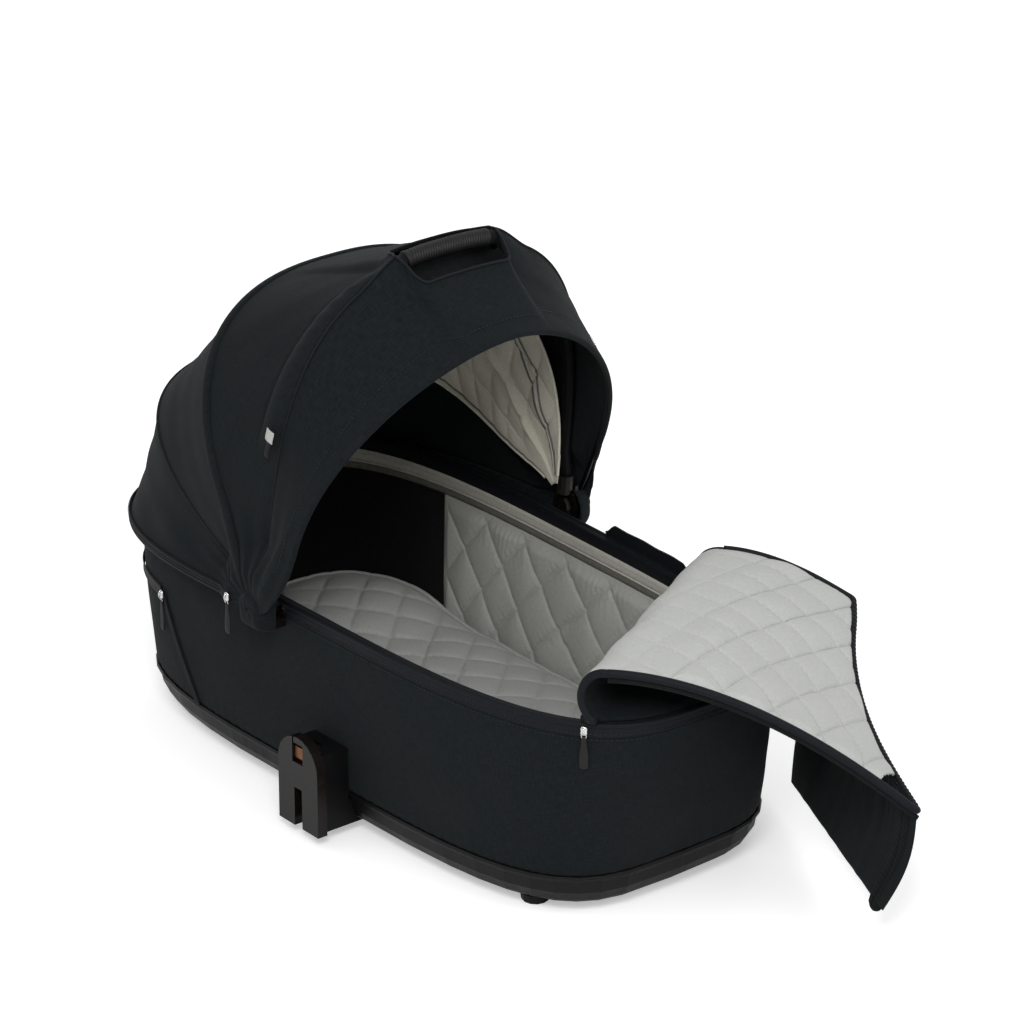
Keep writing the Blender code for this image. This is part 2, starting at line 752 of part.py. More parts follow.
def eye_layers():
    """Distances out from the middle at which each bow's eye starts and ends."""
    start = HUB_DISC_FACE + HUB_DISC_THICKNESS + LAYER_GAP
    layers = {"handle": (start, start + HANDLE_EYE_THICKNESS)}
    for name in ("rear", "visor", "mid"):
        start = list(layers.values())[-1][1] + LAYER_GAP
        layers[name] = (start, start + EYE_THICKNESS)
    return layers


def hub_bracket(side):
    """Disc on the hood's axis, on a bracket that stands off the tub's side."""
    ends = (HUB_X - BRACKET_HALF_WIDTH, HUB_X + BRACKET_HALF_WIDTH)
    wall = max(wall_y(x, side, z) for x in ends for z in (BRACKET_LOW, RIM_HEIGHT))
    wall += max(cover_lift(BRACKET_LOW), BINDING_PROUD + GAP)
    plate_high = HUB_HEIGHT - BRACKET_DROP
    outer = HUB_DISC_FACE + HUB_DISC_THICKNESS
    bracket = block((HUB_X - BRACKET_HALF_WIDTH, side * wall, BRACKET_LOW),
                    (HUB_X + BRACKET_HALF_WIDTH, side * (outer - LAYER_GAP), plate_high))
    face = disc(side, HUB_DISC_FACE, outer, HUB_DISC_RADIUS)
    bracket = boolean(bracket, face, "UNION")
    bore = disc(side, HUB_DISC_FACE - OVERRUN, outer + OVERRUN, PIN_RADIUS + PIN_CLEARANCE)
    return boolean(bracket, bore, "DIFFERENCE")


def hub_pin(side):
    """Shaft through the bracket's disc and all the bows' eyes, with a flat head outside."""
    head = eye_layers()["mid"][1] + LAYER_GAP
    shaft = disc(side, HUB_DISC_FACE + LAYER_GAP, head + LAYER_GAP, PIN_RADIUS)
    cap = disc(side, head, head + PIN_HEAD_THICKNESS, PIN_HEAD_RADIUS)
    pin = boolean(shaft, cap, "UNION")
    bore = BUTTON_STEM_RADIUS + PIN_CLEARANCE
    hole = disc(side, HUB_DISC_FACE - OVERRUN, head - LAYER_GAP, bore)
    return boolean(pin, hole, "DIFFERENCE")


def hub_button(side):
    """Release button on the disc's inner face, with a stem that enters the pin when it is pressed."""
    inner = HUB_DISC_FACE - BUTTON_TRAVEL - GAP
    cap = disc(side, inner - BUTTON_THICKNESS, inner, BUTTON_RADIUS)
    stem = disc(side, inner - BUTTON_THICKNESS / 2, HUB_DISC_FACE - LAYER_GAP, BUTTON_STEM_RADIUS)
    return boolean(cap, stem, "UNION")


def hub_spring(side):
    """Spring round the stem, between the button and the disc."""
    inner = HUB_DISC_FACE - BUTTON_TRAVEL
    bore = BUTTON_STEM_RADIUS + PIN_CLEARANCE
    return disc(side, inner, HUB_DISC_FACE - LAYER_GAP, bore + SPRING_WALL, bore)


# Bows


def cutout_shares():
    """Share of the cut-out at each point of an arch: 1 at the grip, 0 beyond the cut-out."""
    steps = len(CUTOUT_EDGE_SHARES) - 1
    half = [0.0] * (LEG_POINTS + BOW_STEPS) + [k / steps for k in range(steps + 1)] + [1.0]
    return half + [1.0] + half[::-1]


def arch_turns(bow):
    """Turns along one half of a bow, closer in the corner, that meet the cut-out's two edges."""
    fine = 300
    turns = [radians(90) * k / fine for k in range(fine + 1)]
    places = [(bow["half"] * cos(t) ** (2 / bow["power"]),
               (bow["reach"] - bow["shoulder"]) * sin(t) ** (2 / bow["power"])) for t in turns[:-1]]
    places.append((0.0, bow["reach"] - bow["shoulder"]))
    edges = []
    for share in CUTOUT_EDGE_SHARES:
        edges.append(next(k for k, (y, _) in enumerate(places) if y < CUTOUT_HALF_WIDTH * share))
    travel, heading = [0.0], 0.0
    for (y0, r0), (y1, r1) in zip(places, places[1:]):
        new_heading = atan2(y0 - y1, r1 - r0)
        travel.append(travel[-1] + hypot(y1 - y0, r1 - r0) + CORNER_WEIGHT * abs(new_heading - heading))
        heading = new_heading
    result = []
    for step in range(BOW_STEPS):
        goal = travel[edges[0]] * step / BOW_STEPS
        result.append(next(turns[k] for k in range(fine) if travel[k] >= goal))
    result += [turns[edge] for edge in edges]
    return result + [lerp(turns[edges[-1]], radians(90), 0.5)]


def arch(bow, half, reach, start_half, start):
    """Points of an arch about the hub axis: up from one hub, over, and down to the other."""
    angle = bow["angle"]
    shoulder, power = bow["shoulder"], bow["power"]
    legs = [(start, start_half), (NECK, start_half), (lerp(NECK, shoulder, 0.5), lerp(start_half, half, 0.5))]
    for turn in arch_turns(bow):
        legs.append((lerp(shoulder, reach, sin(turn) ** (2 / power)), half * cos(turn) ** (2 / power)))
    path = [(distance, y * NEAR) for distance, y in legs] + [(reach, 0.0)]
    path += [(distance, y * FAR) for distance, y in reversed(legs)]
    return [Vector((HUB_X + r * cos(angle), y, HUB_HEIGHT + r * sin(angle))) for r, y in path]


def plane_normal(bow):
    return Vector((-sin(bow["angle"]), 0.0, cos(bow["angle"])))


def eyes(mesh, layer):
    """Unite a bow with its two eyes and cut their bores."""
    low, high = eye_layers()[layer]
    for side in (NEAR, FAR):
        mesh = boolean(mesh, disc(side, low, high, EYE_RADIUS), "UNION")
        bore = disc(side, low - OVERRUN, high + OVERRUN, PIN_RADIUS + PIN_CLEARANCE)
        mesh = boolean(mesh, bore, "DIFFERENCE")
    return mesh


def flat_bow(bow, layer, width):
    low, high = eye_layers()[layer]
    half, reach = bow["half"] - BOW_INSET, bow["reach"] - BOW_INSET
    path = arch(bow, half, reach, (low + high) / 2, EYE_RADIUS * EYE_OVERLAP_SHARE)
    return eyes(skin(sweep(path, plane_normal(bow), width / 2, BOW_THICKNESS / 2)), layer)


def handle_half():
    """Half width between the middles of the handle's legs, inside the fabric."""
    return HANDLE["half"] - SKIN - HANDLE_RADIUS - HANDLE_CLEARANCE


def socket_y():
    """Distance out to the middle of the handle's sockets, which overlap their eyes."""
    return eye_layers()["handle"][0] + SOCKET_OVERLAP - HANDLE_BOSS_RADIUS


def handle_path(start):
    """Middle of the handle's tube: under the fabric, and out of it at the grip."""
    reach = HANDLE["reach"] - SKIN - HANDLE_RADIUS - HANDLE_CLEARANCE
    outward = Vector((cos(HANDLE["angle"]), 0.0, sin(HANDLE["angle"])))
    points = arch(HANDLE, handle_half(), reach, socket_y(), start)
    return [point + outward * (GRIP_RISE * share) for point, share in zip(points, cutout_shares())]


def handle_bow():
    return skin(sweep(handle_path(HANDLE_START), plane_normal(HANDLE), HANDLE_RADIUS, HANDLE_RADIUS,
                      TUBE_SIDES))


def radial(distance, y):
    return Vector((HUB_X + distance * cos(HANDLE["angle"]), y, HUB_HEIGHT + distance * sin(HANDLE["angle"])))


def handle_knuckle(side):
    """Eye and socket that join the handle's tube to the hub."""
    low, high = eye_layers()["handle"]
    middle = (low + high) / 2
    y = side * socket_y()
    across = plane_normal(HANDLE)
    link = skin(sweep([radial(0.0, side * middle), radial(LINK_END, side * middle)], across,
                      EYE_RADIUS * LINK_WIDTH_SHARE, (high - low) / 2))
    boss = skin(sweep([radial(HANDLE_BOSS_START, y), radial(NECK, y)], across,
                      HANDLE_BOSS_RADIUS, HANDLE_BOSS_RADIUS, TUBE_SIDES))
    socket = HANDLE_RADIUS + PIN_CLEARANCE
    hole = skin(sweep([radial(HANDLE_START - GAP, y), radial(NECK + OVERRUN, y)], across,
                      socket, socket, TUBE_SIDES))
    boss = boolean(boss, link, "UNION")
    boss = boolean(boss, disc(side, low, high, EYE_RADIUS), "UNION")
    bore = disc(side, low - OVERRUN, high + OVERRUN, PIN_RADIUS + PIN_CLEARANCE)
    return boolean(boolean(boss, bore, "DIFFERENCE"), hole, "DIFFERENCE")


def handle_grip():
    """Ribbed sleeve on the middle of the handle's tube."""
    path = [p for p in handle_path(HANDLE_START) if abs(p[1]) < GRIP_HALF_LENGTH]
    ends = []
    for side in (NEAR, FAR):
        ends.append(Vector((path[0][0], side * GRIP_HALF_LENGTH, path[0][2])))
    path = [ends[0]] + path + [ends[1]]
    across = plane_normal(HANDLE)
    outer = skin(sweep(path, across, GRIP_RADIUS, GRIP_RADIUS, TUBE_SIDES))
    long_path = handle_path(HANDLE_START)
    bore = HANDLE_RADIUS + GRIP_WALL_CLEARANCE
    return boolean(outer, skin(sweep(long_path, across, bore, bore, TUBE_SIDES)), "DIFFERENCE")


# Hood fabric


def cloth_arch(bow, lift=0.0):
    inside = SKIN / 2 - lift
    return arch(bow, bow["half"] - inside, bow["reach"] - inside, HUB_HALF_WIDTH - inside, FABRIC_START)


def hem_line(share, lift):
    """Line along the hem band, from its lower edge at share 0 to its upper edge at share 1."""
    line = []
    for p in cloth_arch(HEM, lift):
        height = min(HEM_BAND_HEIGHT, (HUB_X - p[0]) * HEM_TAPER_SHARE)
        line.append(p + Vector((0, 0, height * share)))
    return line


def hem_top():
    """Line just above the band, where the rear panel starts."""
    return [p + Vector((0, 0, GAP)) for p in hem_line(1, 0.0)]


def between(first, second, sag, cutout_share=0.0):
    """Grid of points on fabric drawn taut from one arch to the next, hollowed by sag."""
    grid = [[] for _ in range(PANEL_ROWS + 1)]
    first_line = hem_top() if first is HEM else cloth_arch(first)
    for p, q, grip in zip(first_line, cloth_arch(second), cutout_shares()):
        inward = Vector((HUB_X, 0.0, HUB_HEIGHT)) - (p + q) / 2
        inward[1] = 0.0
        depth = sag * smooth(inward.length / first["shoulder"] - 1)
        edge = SEAM_GAP / (q - p).length
        start = edge + cutout_share * grip
        for k, line in enumerate(grid):
            share = lerp(start, 1 - edge, k / PANEL_ROWS)
            line.append(p.lerp(q, share) + inward.normalized() * (4 * depth * share * (1 - share)))
    return grid


def cloth(grid, thickness=SKIN):
    directions = normals(grid)
    return plate(offset(grid, directions, thickness / 2), offset(grid, directions, -thickness / 2))


def canopy_rear():
    return cloth(between(HEM, REAR, REAR_SAG))


def canopy_back():
    return cloth(between(REAR, MID, BACK_SAG))


def canopy_crown():
    return cloth(between(HANDLE, MID, CROWN_SAG, CUTOUT_BACK_ANGLE / (MID["angle"] - HANDLE["angle"])))


def canopy_visor():
    return cloth(between(HANDLE, VISOR, VISOR_SAG, CUTOUT_FRONT_ANGLE / (HANDLE["angle"] - VISOR["angle"])))


def towards(target, line):
    """Where a line of points crosses the level ray from the hub axis through a target."""
    ray = Vector((target[0] - HUB_X, target[1]))
    for p, q in zip(line, line[1:]):
        first = ray[0] * p[1] - ray[1] * (p[0] - HUB_X)
        second = ray[0] * q[1] - ray[1] * (q[0] - HUB_X)
        if first * second <= 0 and first != second:
            return p.lerp(q, first / (first - second))
    return line[-1]


def hem_band():
    """Stiff band along the hood's lower edge."""
    outer, inner = SKIN / 2, SKIN / 2 - HEM_BAND_THICKNESS
    rings = zip(hem_line(1, outer), hem_line(0, outer), hem_line(0, inner), hem_line(1, inner))
    return skin([list(loop) for loop in rings])


def canopy_hem():
    """The band, with the zip tape that joins it to the rim."""
    edge = hem_line(0.5, (SKIN - HEM_BAND_THICKNESS) / 2)
    start = angle_at(HUB_X - NECK, FAR, RIM_HEIGHT)
    rings = []
    for angle in facet_angles(start, 2 * pi - start):
        rim = tub_point(angle, RIM_HEIGHT, -BINDING_PROUD - TAPE_CLEARANCE)
        p = towards(rim, edge)
        rings.append([(p[0], p[1], p[2]), (rim[0], rim[1], p[2]),
                      (rim[0], rim[1], p[2] - TAPE_THICKNESS), (p[0], p[1], p[2] - TAPE_THICKNESS)])
    return boolean(hem_band(), skin(rings), "UNION")


def canopy_lining():
    """Grey lining under the crown, between the mid bow and the visor."""
    half = handle_half() - HANDLE_RADIUS - LINING_THICKNESS / 2 - GAP
    grid = []
    for k in range(LINING_ROWS + 1):
        angle = lerp(LINING_BACK_ANGLE, LINING_FRONT_ANGLE, k / LINING_ROWS)
        reach = (HANDLE["reach"] - LINING_DROP) * lerp(LINING_BACK_SHARE, 1.0, k / LINING_ROWS)
        bow = dict(HANDLE, angle=angle, half=half, reach=reach)
        grid.append(arch(bow, half, reach, half, FABRIC_START)[2:-2])
    return cloth(grid, LINING_THICKNESS)


def side_tag():
    """Blank label sewn beside the handle's seam on the near side."""
    grid = between(HANDLE, MID, CROWN_SAG)
    k = next(k for k, point in enumerate(grid[0]) if point[2] > TAG_CENTRE_HEIGHT)
    front, back = (grid[0][k - 1], grid[0][k]), (grid[1][k - 1], grid[1][k])
    centre = (TAG_CENTRE_HEIGHT - front[0][2]) / (front[1][2] - front[0][2])
    reach = TAG_HEIGHT / 2 / (front[1] - front[0]).length
    width = (back[0] - front[0]).length
    outward = (front[1] - front[0]).cross(back[0] - front[0]).normalized()
    if outward[1] > 0:
        outward = -outward
    corners = []
    for u, v in ((-1, 0), (1, 0), (1, 1), (-1, 1)):
        across = (TAG_MARGIN + v * TAG_WIDTH) / width
        corners.append(front[0].lerp(front[1], centre + u * reach).lerp(
            back[0].lerp(back[1], centre + u * reach), across))
    low = SKIN / 2 + GAP
    return skin([[c + outward * level for c in corners] for level in (low, low + TAG_THICKNESS)])


# Apron


def corner_points():
    crest_near = Vector((CREST_NEAR_X, CREST_NEAR_Y, CREST_NEAR_HEIGHT))
    crest_far = Vector((CREST_FAR_X, CREST_FAR_Y, CREST_FAR_HEIGHT))
    tip = Vector((TIP_X, TIP_Y, TIP_HEIGHT))
    corner = Vector((CORNER_X, CORNER_Y, CORNER_HEIGHT))
    return crest_near, crest_far, tip, corner


def crest_along():
    crest_near, crest_far, _, _ = corner_points()
    return (crest_far - crest_near).normalized()


def crest_outward():
    """Level direction away from the cot, square to the crest."""
    along = crest_along()
    return Vector((along[1], -along[0], 0.0)).normalized()


def falling_edge(start, end, share):
    """Edge that leaves the crest level and falls away towards its free corner."""
    flat = start.lerp(end, share)
    drop = (start[2] - end[2]) * share ** APRON_FALL_POWER
    return Vector((flat[0], flat[1], start[2] - drop))


def free_edge(share):
    """Edge between the tip and the far corner, drawn in by its elastic."""
    _, _, tip, corner = corner_points()
    pull = sin(pi * share)
    point = tip.lerp(corner, share) - crest_outward() * APRON_EDGE_PULL * pull
    return point - Vector((0, 0, APRON_SAG * pull))


def apron_point(p, q):
    """Middle of the panel, from edge to edge with p and from crest to free edge with q."""
    crest_near, crest_far, tip, corner = corner_points()
    near = falling_edge(crest_near, tip, q)
    far = falling_edge(crest_far, corner, q)
    crest = crest_near.lerp(crest_far, p)
    free = free_edge(p)
    flat = crest_near.lerp(crest_far, p).lerp(tip.lerp(corner, p), q)
    return near.lerp(far, p) + crest.lerp(free, q) - flat


def apron_panel():
    """Quilted folded-back part, with its lining on top."""
    crest_near, crest_far, tip, corner = corner_points()
    cord = EDGE_CORD_RADIUS + EDGE_GAP
    side_share = cord / (crest_far - crest_near).length
    grid = []
    for i in range(APRON_ROWS + 1):
        line = []
        for j in range(APRON_COLUMNS + 1):
            p = lerp(side_share, 1 - side_share, j / APRON_COLUMNS)
            length = lerp((tip - crest_near).length, (corner - crest_far).length, p)
            line.append(apron_point(p, lerp(HINGE_SLIT / length, 1 - cord / length, i / APRON_ROWS)))
        grid.append(line)
    directions = normals(grid)
    sign = 1 if directions[1][1][2] > 0 else -1

    def swell(i, j):
        rim = 0 < i < APRON_ROWS and 0 < j < APRON_COLUMNS
        return sign * (APRON_THICKNESS / 2 + APRON_PUFF * puff(i, j) * rim)

    return plate(offset(grid, directions, swell), offset(grid, directions, -sign * APRON_THICKNESS / 2))


def apron_base():
    """Zipped part: from the rim round the foot end, and up over the roll to the crest."""
    crest_near, crest_far, _, _ = corner_points()
    start = angle_at(APRON_SLIDER_X, NEAR, RIM_HEIGHT)
    end = angle_at(ZIP_TAPE_END_X + DIAMOND_LENGTH / 8, FAR, RIM_HEIGHT)
    angles = even_angles(start, end, RIM_HEIGHT, DIAMOND_LENGTH / 2)
    seat = RIM_HEIGHT + GAP + APRON_THICKNESS / 2
    grid = []
    for k, angle in enumerate(angles):
        p = k / (len(angles) - 1)
        rim = tub_point(angle, RIM_HEIGHT, BINDING_WIDTH / 2, seat)
        crest = crest_near.lerp(crest_far, p)
        height = (crest[2] - seat) / 2
        line = []
        for step in range(ROLL_STEPS + 1):
            turn = ROLL_TURN * step / ROLL_STEPS
            inward = crest_outward() * (ROLL_DEPTH * sin(turn))
            line.append(crest - inward - Vector((0, 0, height * (1 - cos(turn)))))
        line += [line[ROLL_STEPS].lerp(rim, step / BASE_STEPS) for step in range(1, BASE_STEPS + 1)]
        grid.append(line)
    directions = normals(grid)
    half = APRON_THICKNESS / 2
    return plate(offset(grid, directions, half), offset(grid, directions, -half))


def tube_along(points, radius, sides):
    """Round tube along any smooth line."""
    rings, side = [], None
    for i, point in enumerate(points):
        ahead = (points[min(i + 1, len(points) - 1)] - points[max(i - 1, 0)]).normalized()
        side = (Vector((0, 0, 1)) if side is None else side)
        side = (side - ahead * side.dot(ahead)).normalized()
        other = ahead.cross(side)
        turns = [2 * pi * k / sides for k in range(sides)]
        rings.append([point + side * radius * cos(turn) + other * radius * sin(turn) for turn in turns])
    return skin(rings)


def apron_binding():
    """Corded edge round the panel's three free sides."""
    _, _, tip, _ = corner_points()
    start_share = HINGE_SLIT * 2 / (tip - corner_points()[0]).length
    rows, columns = APRON_ROWS // 2, APRON_COLUMNS
    line = [apron_point(0, lerp(start_share, 1, k / rows)) for k in range(rows)]
    line += [apron_point(k / columns, 1) for k in range(columns + 1)]
    line += [apron_point(1, lerp(1, start_share, k / rows)) for k in range(1, rows + 1)]
    return tube_along(line, EDGE_CORD_RADIUS, CORD_SIDES)


def flap_point(along, down):
    """Middle of the wind flap, from the tip to the far corner and from its seam to its hem."""
    _, _, tip, corner = corner_points()
    top = tip.lerp(corner, along) - crest_outward() * (APRON_EDGE_PULL * sin(pi * along))
    top -= Vector((0, 0, APRON_SAG * sin(pi * along)))
    low_near = Vector((FLAP_LOW_NEAR_X, FLAP_LOW_NEAR_Y, FLAP_LOW_NEAR_HEIGHT))
    low_far = Vector((FLAP_LOW_FAR_X, FLAP_LOW_FAR_Y, FLAP_LOW_FAR_HEIGHT))
    low = low_near.lerp(low_far, along)
    fall = (low - top).normalized()
    start = top + fall * (EDGE_CORD_RADIUS + FLAP_SEAM_GAP)
    belly = crest_outward() * FLAP_BELLY * sin(pi * down)
    return start.lerp(low, down) + belly


def wind_flap():
    grid = [[flap_point(FLAP_END_SHARE * j / FLAP_COLUMNS, i / FLAP_ROWS) for j in range(FLAP_COLUMNS + 1)]
            for i in range(FLAP_ROWS + 1)]
    return cloth(grid, FLAP_THICKNESS)


# Zip sliders


def slider(point, outward):
    """Slider body standing on a face at a point, and where its pull tab hangs."""
    outward = Vector(outward).normalized()
    along = Vector((0, 0, 1)).cross(outward).normalized()
    up = Vector((0, 0, 1))
    rings = []
    shoulder = SLIDER_DEPTH * SLIDER_SHOULDER_SHARE
    for depth, share in ((0.0, 1.0), (shoulder, 1.0), (SLIDER_DEPTH, SLIDER_FACE_SHARE)):
        centre = Vector(point) + outward * depth
        rings.append([centre + along * (u * SLIDER_WIDTH / 2 * share) + up * (v * SLIDER_HEIGHT / 2 * share)
                      for u, v in ((-1, -1), (1, -1), (1, 1), (-1, 1))])
    return skin(rings)


def pull_pivot(point, outward):
    """Axis of a pull tab, just below its slider."""
    drop = SLIDER_HEIGHT / 2 + PULL_GAP + PULL_THICKNESS / 2
    return Vector(point) + Vector(outward).normalized() * (SLIDER_DEPTH / 2) - Vector((0, 0, drop))


def pull(point, outward):
    """Long soft tab that hangs from a slider, a little wider at its end."""
    outward = Vector(outward).normalized()
    along = Vector((0, 0, 1)).cross(outward).normalized()
    pivot = pull_pivot(point, outward)
    top = PULL_THICKNESS / 2
    flank = [(width, -PULL_LENGTH * down) for width, down in PULL_SHARES]
    outline = [(-PULL_TOP_SHARE, top), (PULL_TOP_SHARE, top)] + flank
    outline += [(-width, height) for width, height in reversed(flank)]
    rings = []
    for depth in (-1, 1):
        level = outward * (depth * PULL_THICKNESS / 2)
        rings.append([pivot + along * (u * PULL_WIDTH / 2) + Vector((0, 0, w)) + level for u, w in outline])
    return skin(rings)


def apron_slider_place():
    ends = []
    for x in (APRON_SLIDER_X - SLIDER_WIDTH / 2, APRON_SLIDER_X + SLIDER_WIDTH / 2):
        y = NEAR * wall_y(x, NEAR, RIM_HEIGHT, -BINDING_PROUD)
        ends.append(Vector((x, y, RIM_HEIGHT - BINDING_HEIGHT / 2)))
    ahead = ends[1] - ends[0]
    outward = Vector((ahead[1], -ahead[0], 0.0)).normalized()
    return (ends[0] + ends[1]) / 2 + outward * GAP, outward


def hem_slider_place():
    reach = HEM_SLIDER_REACH
    y = HUB_HALF_WIDTH + GAP
    z = HUB_HEIGHT + reach * sin(HEM["angle"]) + reach * HEM_TAPER_SHARE / 2
    return Vector((HUB_X - reach, -y, z)), Vector((0, -1, 0))


def vent_slider_place():
    x, height = vent_place(0.0)
    angle = angle_at(x, NEAR, height)
    lift = cover_lift(height) + TAPE_THICKNESS + VENT_SLIDER_LIFT
    ahead = tub_point(angle + TANGENT_STEP, height) - tub_point(angle - TANGENT_STEP, height)
    outward = Vector((ahead[1], -ahead[0], 0.0)).normalized()
    return tub_point(angle, height) + outward * lift, outward


# Adapters


def notch_place(share):
    """Height in the adapter's notch, from its floor at share 0 to the plate's top at share 1."""
    return lerp(ADAPTER_TOP - NOTCH_DEPTH, ADAPTER_TOP, share)


def arch_outline(half_width, top, low, steps=12):
    """Legs and round top of an arch as (x, z) pairs, from its right foot over to its left foot."""
    spring = top - half_width
    points = [(ADAPTER_X + half_width, low)]
    for k in range(steps + 1):
        turn = pi * k / steps
        points.append((ADAPTER_X + half_width * cos(turn), spring + half_width * sin(turn)))
    points.append((ADAPTER_X - half_width, low))
    return points


def prism(outline, side, low, high):
    """Outline in X and Z, drawn out along Y between two distances from the middle."""
    return skin([[(x, side * y, z) for x, z in outline] for y in (low, high)])


def adapter_plate(side):
    """Arch-topped face plate with a slot that is open below and a notch from the top."""
    back = ADAPTER_FACE - ADAPTER_PLATE
    body = prism(arch_outline(ADAPTER_HALF_WIDTH, ADAPTER_TOP, ADAPTER_LOW), side, back, ADAPTER_FACE)
    slot = block((ADAPTER_X - SLOT_HALF_WIDTH, side * (back - OVERRUN), ADAPTER_LOW - OVERRUN),
                 (ADAPTER_X + SLOT_HALF_WIDTH, side * (ADAPTER_FACE + OVERRUN), ADAPTER_LOW + SLOT_HEIGHT))
    notch = block((ADAPTER_X - NOTCH_HALF_WIDTH, side * (back - OVERRUN), notch_place(0)),
                  (ADAPTER_X + NOTCH_HALF_WIDTH, side * (ADAPTER_FACE + OVERRUN), ADAPTER_TOP + OVERRUN))
    return boolean(boolean(body, slot, "DIFFERENCE"), notch, "DIFFERENCE")


def arm_back(x, side):
    """Rear edge of the adapter's arm at one place along X, as (distance, height) pairs."""
    flank_line = []
    for height, inset in [outer_flank(turn) for turn in flank_turns()]:
        flank_line.append((wall_y(x, side, height, inset) + GAP, height))
    line = []
    for (y0, z0), (y1, z1) in zip(flank_line, flank_line[1:]):
        if z0 < ADAPTER_LOW < z1:
            line.append((lerp(y0, y1, (ADAPTER_LOW - z0) / (z1 - z0)), ADAPTER_LOW))
        if z1 > ADAPTER_LOW:
            line.append((y1, z1))
    bead = wall_y(x, side, LIP_HEIGHT, -LIP_BEAD) + GAP
    line.append((bead, LEDGE_HEIGHT + GAP))
    line.append((bead, LIP_HEIGHT + GAP * 2))
    wall = wall_y(x, side, ARM_TOP) + COVER_BULGE + GAP
    line.append((wall, LIP_HEIGHT + GAP * 2 + LIP_BEAD))
    line.append((wall, ARM_TOP))
    return line


def adapter_arm(side):
    """Hollow arm from the face plate back to the pan and the cover."""
    front = ADAPTER_FACE - ADAPTER_PLATE - GAP
    rings = []
    for x in [ADAPTER_X + ARM_HALF_WIDTH * share for share in (-1.0, -0.5, 0.0, 0.5, 1.0)]:
        back = arm_back(x, side)
        rings.append([(x, side * y, z) for y, z in back]
                     + [(x, side * front, ARM_TOP), (x, side * front, ADAPTER_LOW)])
    arm = skin(rings)
    channel = block((ADAPTER_X - SLOT_HALF_WIDTH, side * (front - ARM_POCKET_DEPTH), ADAPTER_LOW - OVERRUN),
                    (ADAPTER_X + SLOT_HALF_WIDTH, side * (front + OVERRUN), ADAPTER_LOW + SLOT_HEIGHT))
    pocket = block((ADAPTER_X - NOTCH_HALF_WIDTH, side * (front - ARM_POCKET_DEPTH), notch_place(0)),
                   (ADAPTER_X + NOTCH_HALF_WIDTH, side * (front + OVERRUN), ARM_TOP + OVERRUN))
    arm = boolean(boolean(arm, channel, "DIFFERENCE"), pocket, "DIFFERENCE")
    for x in screw_places():
        arm = boolean(arm, screw_hole(side, x), "DIFFERENCE")
    return arm


def latch_box():
    """Distances out from the middle at which the latch starts and ends."""
    outer = ADAPTER_FACE - LATCH_RECESS
    return outer - LATCH_DEPTH, outer


def adapter_latch(side):
    """Copper-coloured latch behind the notch's window, with a lead-in at its front."""
    inner, outer = latch_box()
    low, high = notch_place(LATCH_LOW_SHARE), notch_place(LATCH_HIGH_SHARE)
    half = NOTCH_HALF_WIDTH - GAP * 2
    profile = [(inner, low), (outer - LATCH_RECESS / 2, low), (outer, low + LATCH_RECESS),
               (outer, high), (inner, high)]
    return skin([[(ADAPTER_X + u * half, side * y, z) for y, z in profile] for u in (-1, 1)])


def adapter_key(side):
    """Release button in the top of the notch."""
    low, high = notch_place(KEY_LOW_SHARE), notch_place(KEY_HIGH_SHARE)
    half = NOTCH_HALF_WIDTH - GAP * 2
    inner, outer = ADAPTER_FACE - ADAPTER_PLATE + GAP, ADAPTER_FACE - GAP * 2
    rings = []
    spring_line = lerp(low, high, KEY_ARCH_SHARE)
    for k in range(KEY_STEPS + 1):
        turn = pi * k / KEY_STEPS
        x = ADAPTER_X - cos(turn) * half
        top = lerp(spring_line, high, sin(turn))
        rings.append([(x, side * inner, low), (x, side * outer, low), (x, side * outer, top), (x, side * inner, top)])
    return skin(rings)


def adapter_spring(side):
    """Spring that pushes the latch out, in the arm's pocket."""
    inner = ADAPTER_FACE - ADAPTER_PLATE - GAP - ARM_POCKET_DEPTH
    centre = (ADAPTER_X, notch_place((LATCH_LOW_SHARE + LATCH_HIGH_SHARE) / 2))
    return disc(side, inner + GAP, latch_box()[0] - GAP, SPRING_RADIUS, SPRING_RADIUS - SPRING_WALL, centre)


def screw_places():
    return [ADAPTER_X - SCREW_SPACING / 2, ADAPTER_X + SCREW_SPACING / 2]


def screw_seat(x, side):
    """Distance out at which a screw's head meets the pan's inner flank."""
    line = [inner_flank(turn) for turn in flank_turns()]
    low = SCREW_HEIGHT - SCREW_HEAD_RADIUS
    for (z0, inset0), (z1, inset1) in zip(line, line[1:]):
        if z0 <= low <= z1:
            inset = lerp(inset0, inset1, (low - z0) / (z1 - z0))
    ends = (x - SCREW_HEAD_RADIUS, x + SCREW_HEAD_RADIUS)
    return min(wall_y(end, side, SCREW_HEIGHT, inset) for end in ends) - GAP


def screw_hole(side, x):
    seat = screw_seat(x, side)
    return disc(side, seat - OVERRUN, seat + SCREW_LENGTH + GAP, SCREW_RADIUS + GAP, 0.0, (x, SCREW_HEIGHT))


def adapter_screw(side, x):
    """Screw from inside the pan into the arm."""
    seat = screw_seat(x, side)
    head = disc(side, seat - SCREW_HEAD_HEIGHT, seat, SCREW_HEAD_RADIUS, 0.0, (x, SCREW_HEIGHT))
    shank = disc(side, seat - GAP, seat + SCREW_LENGTH, SCREW_RADIUS, 0.0, (x, SCREW_HEIGHT))
    return boolean(head, shank, "UNION")


# Assembly


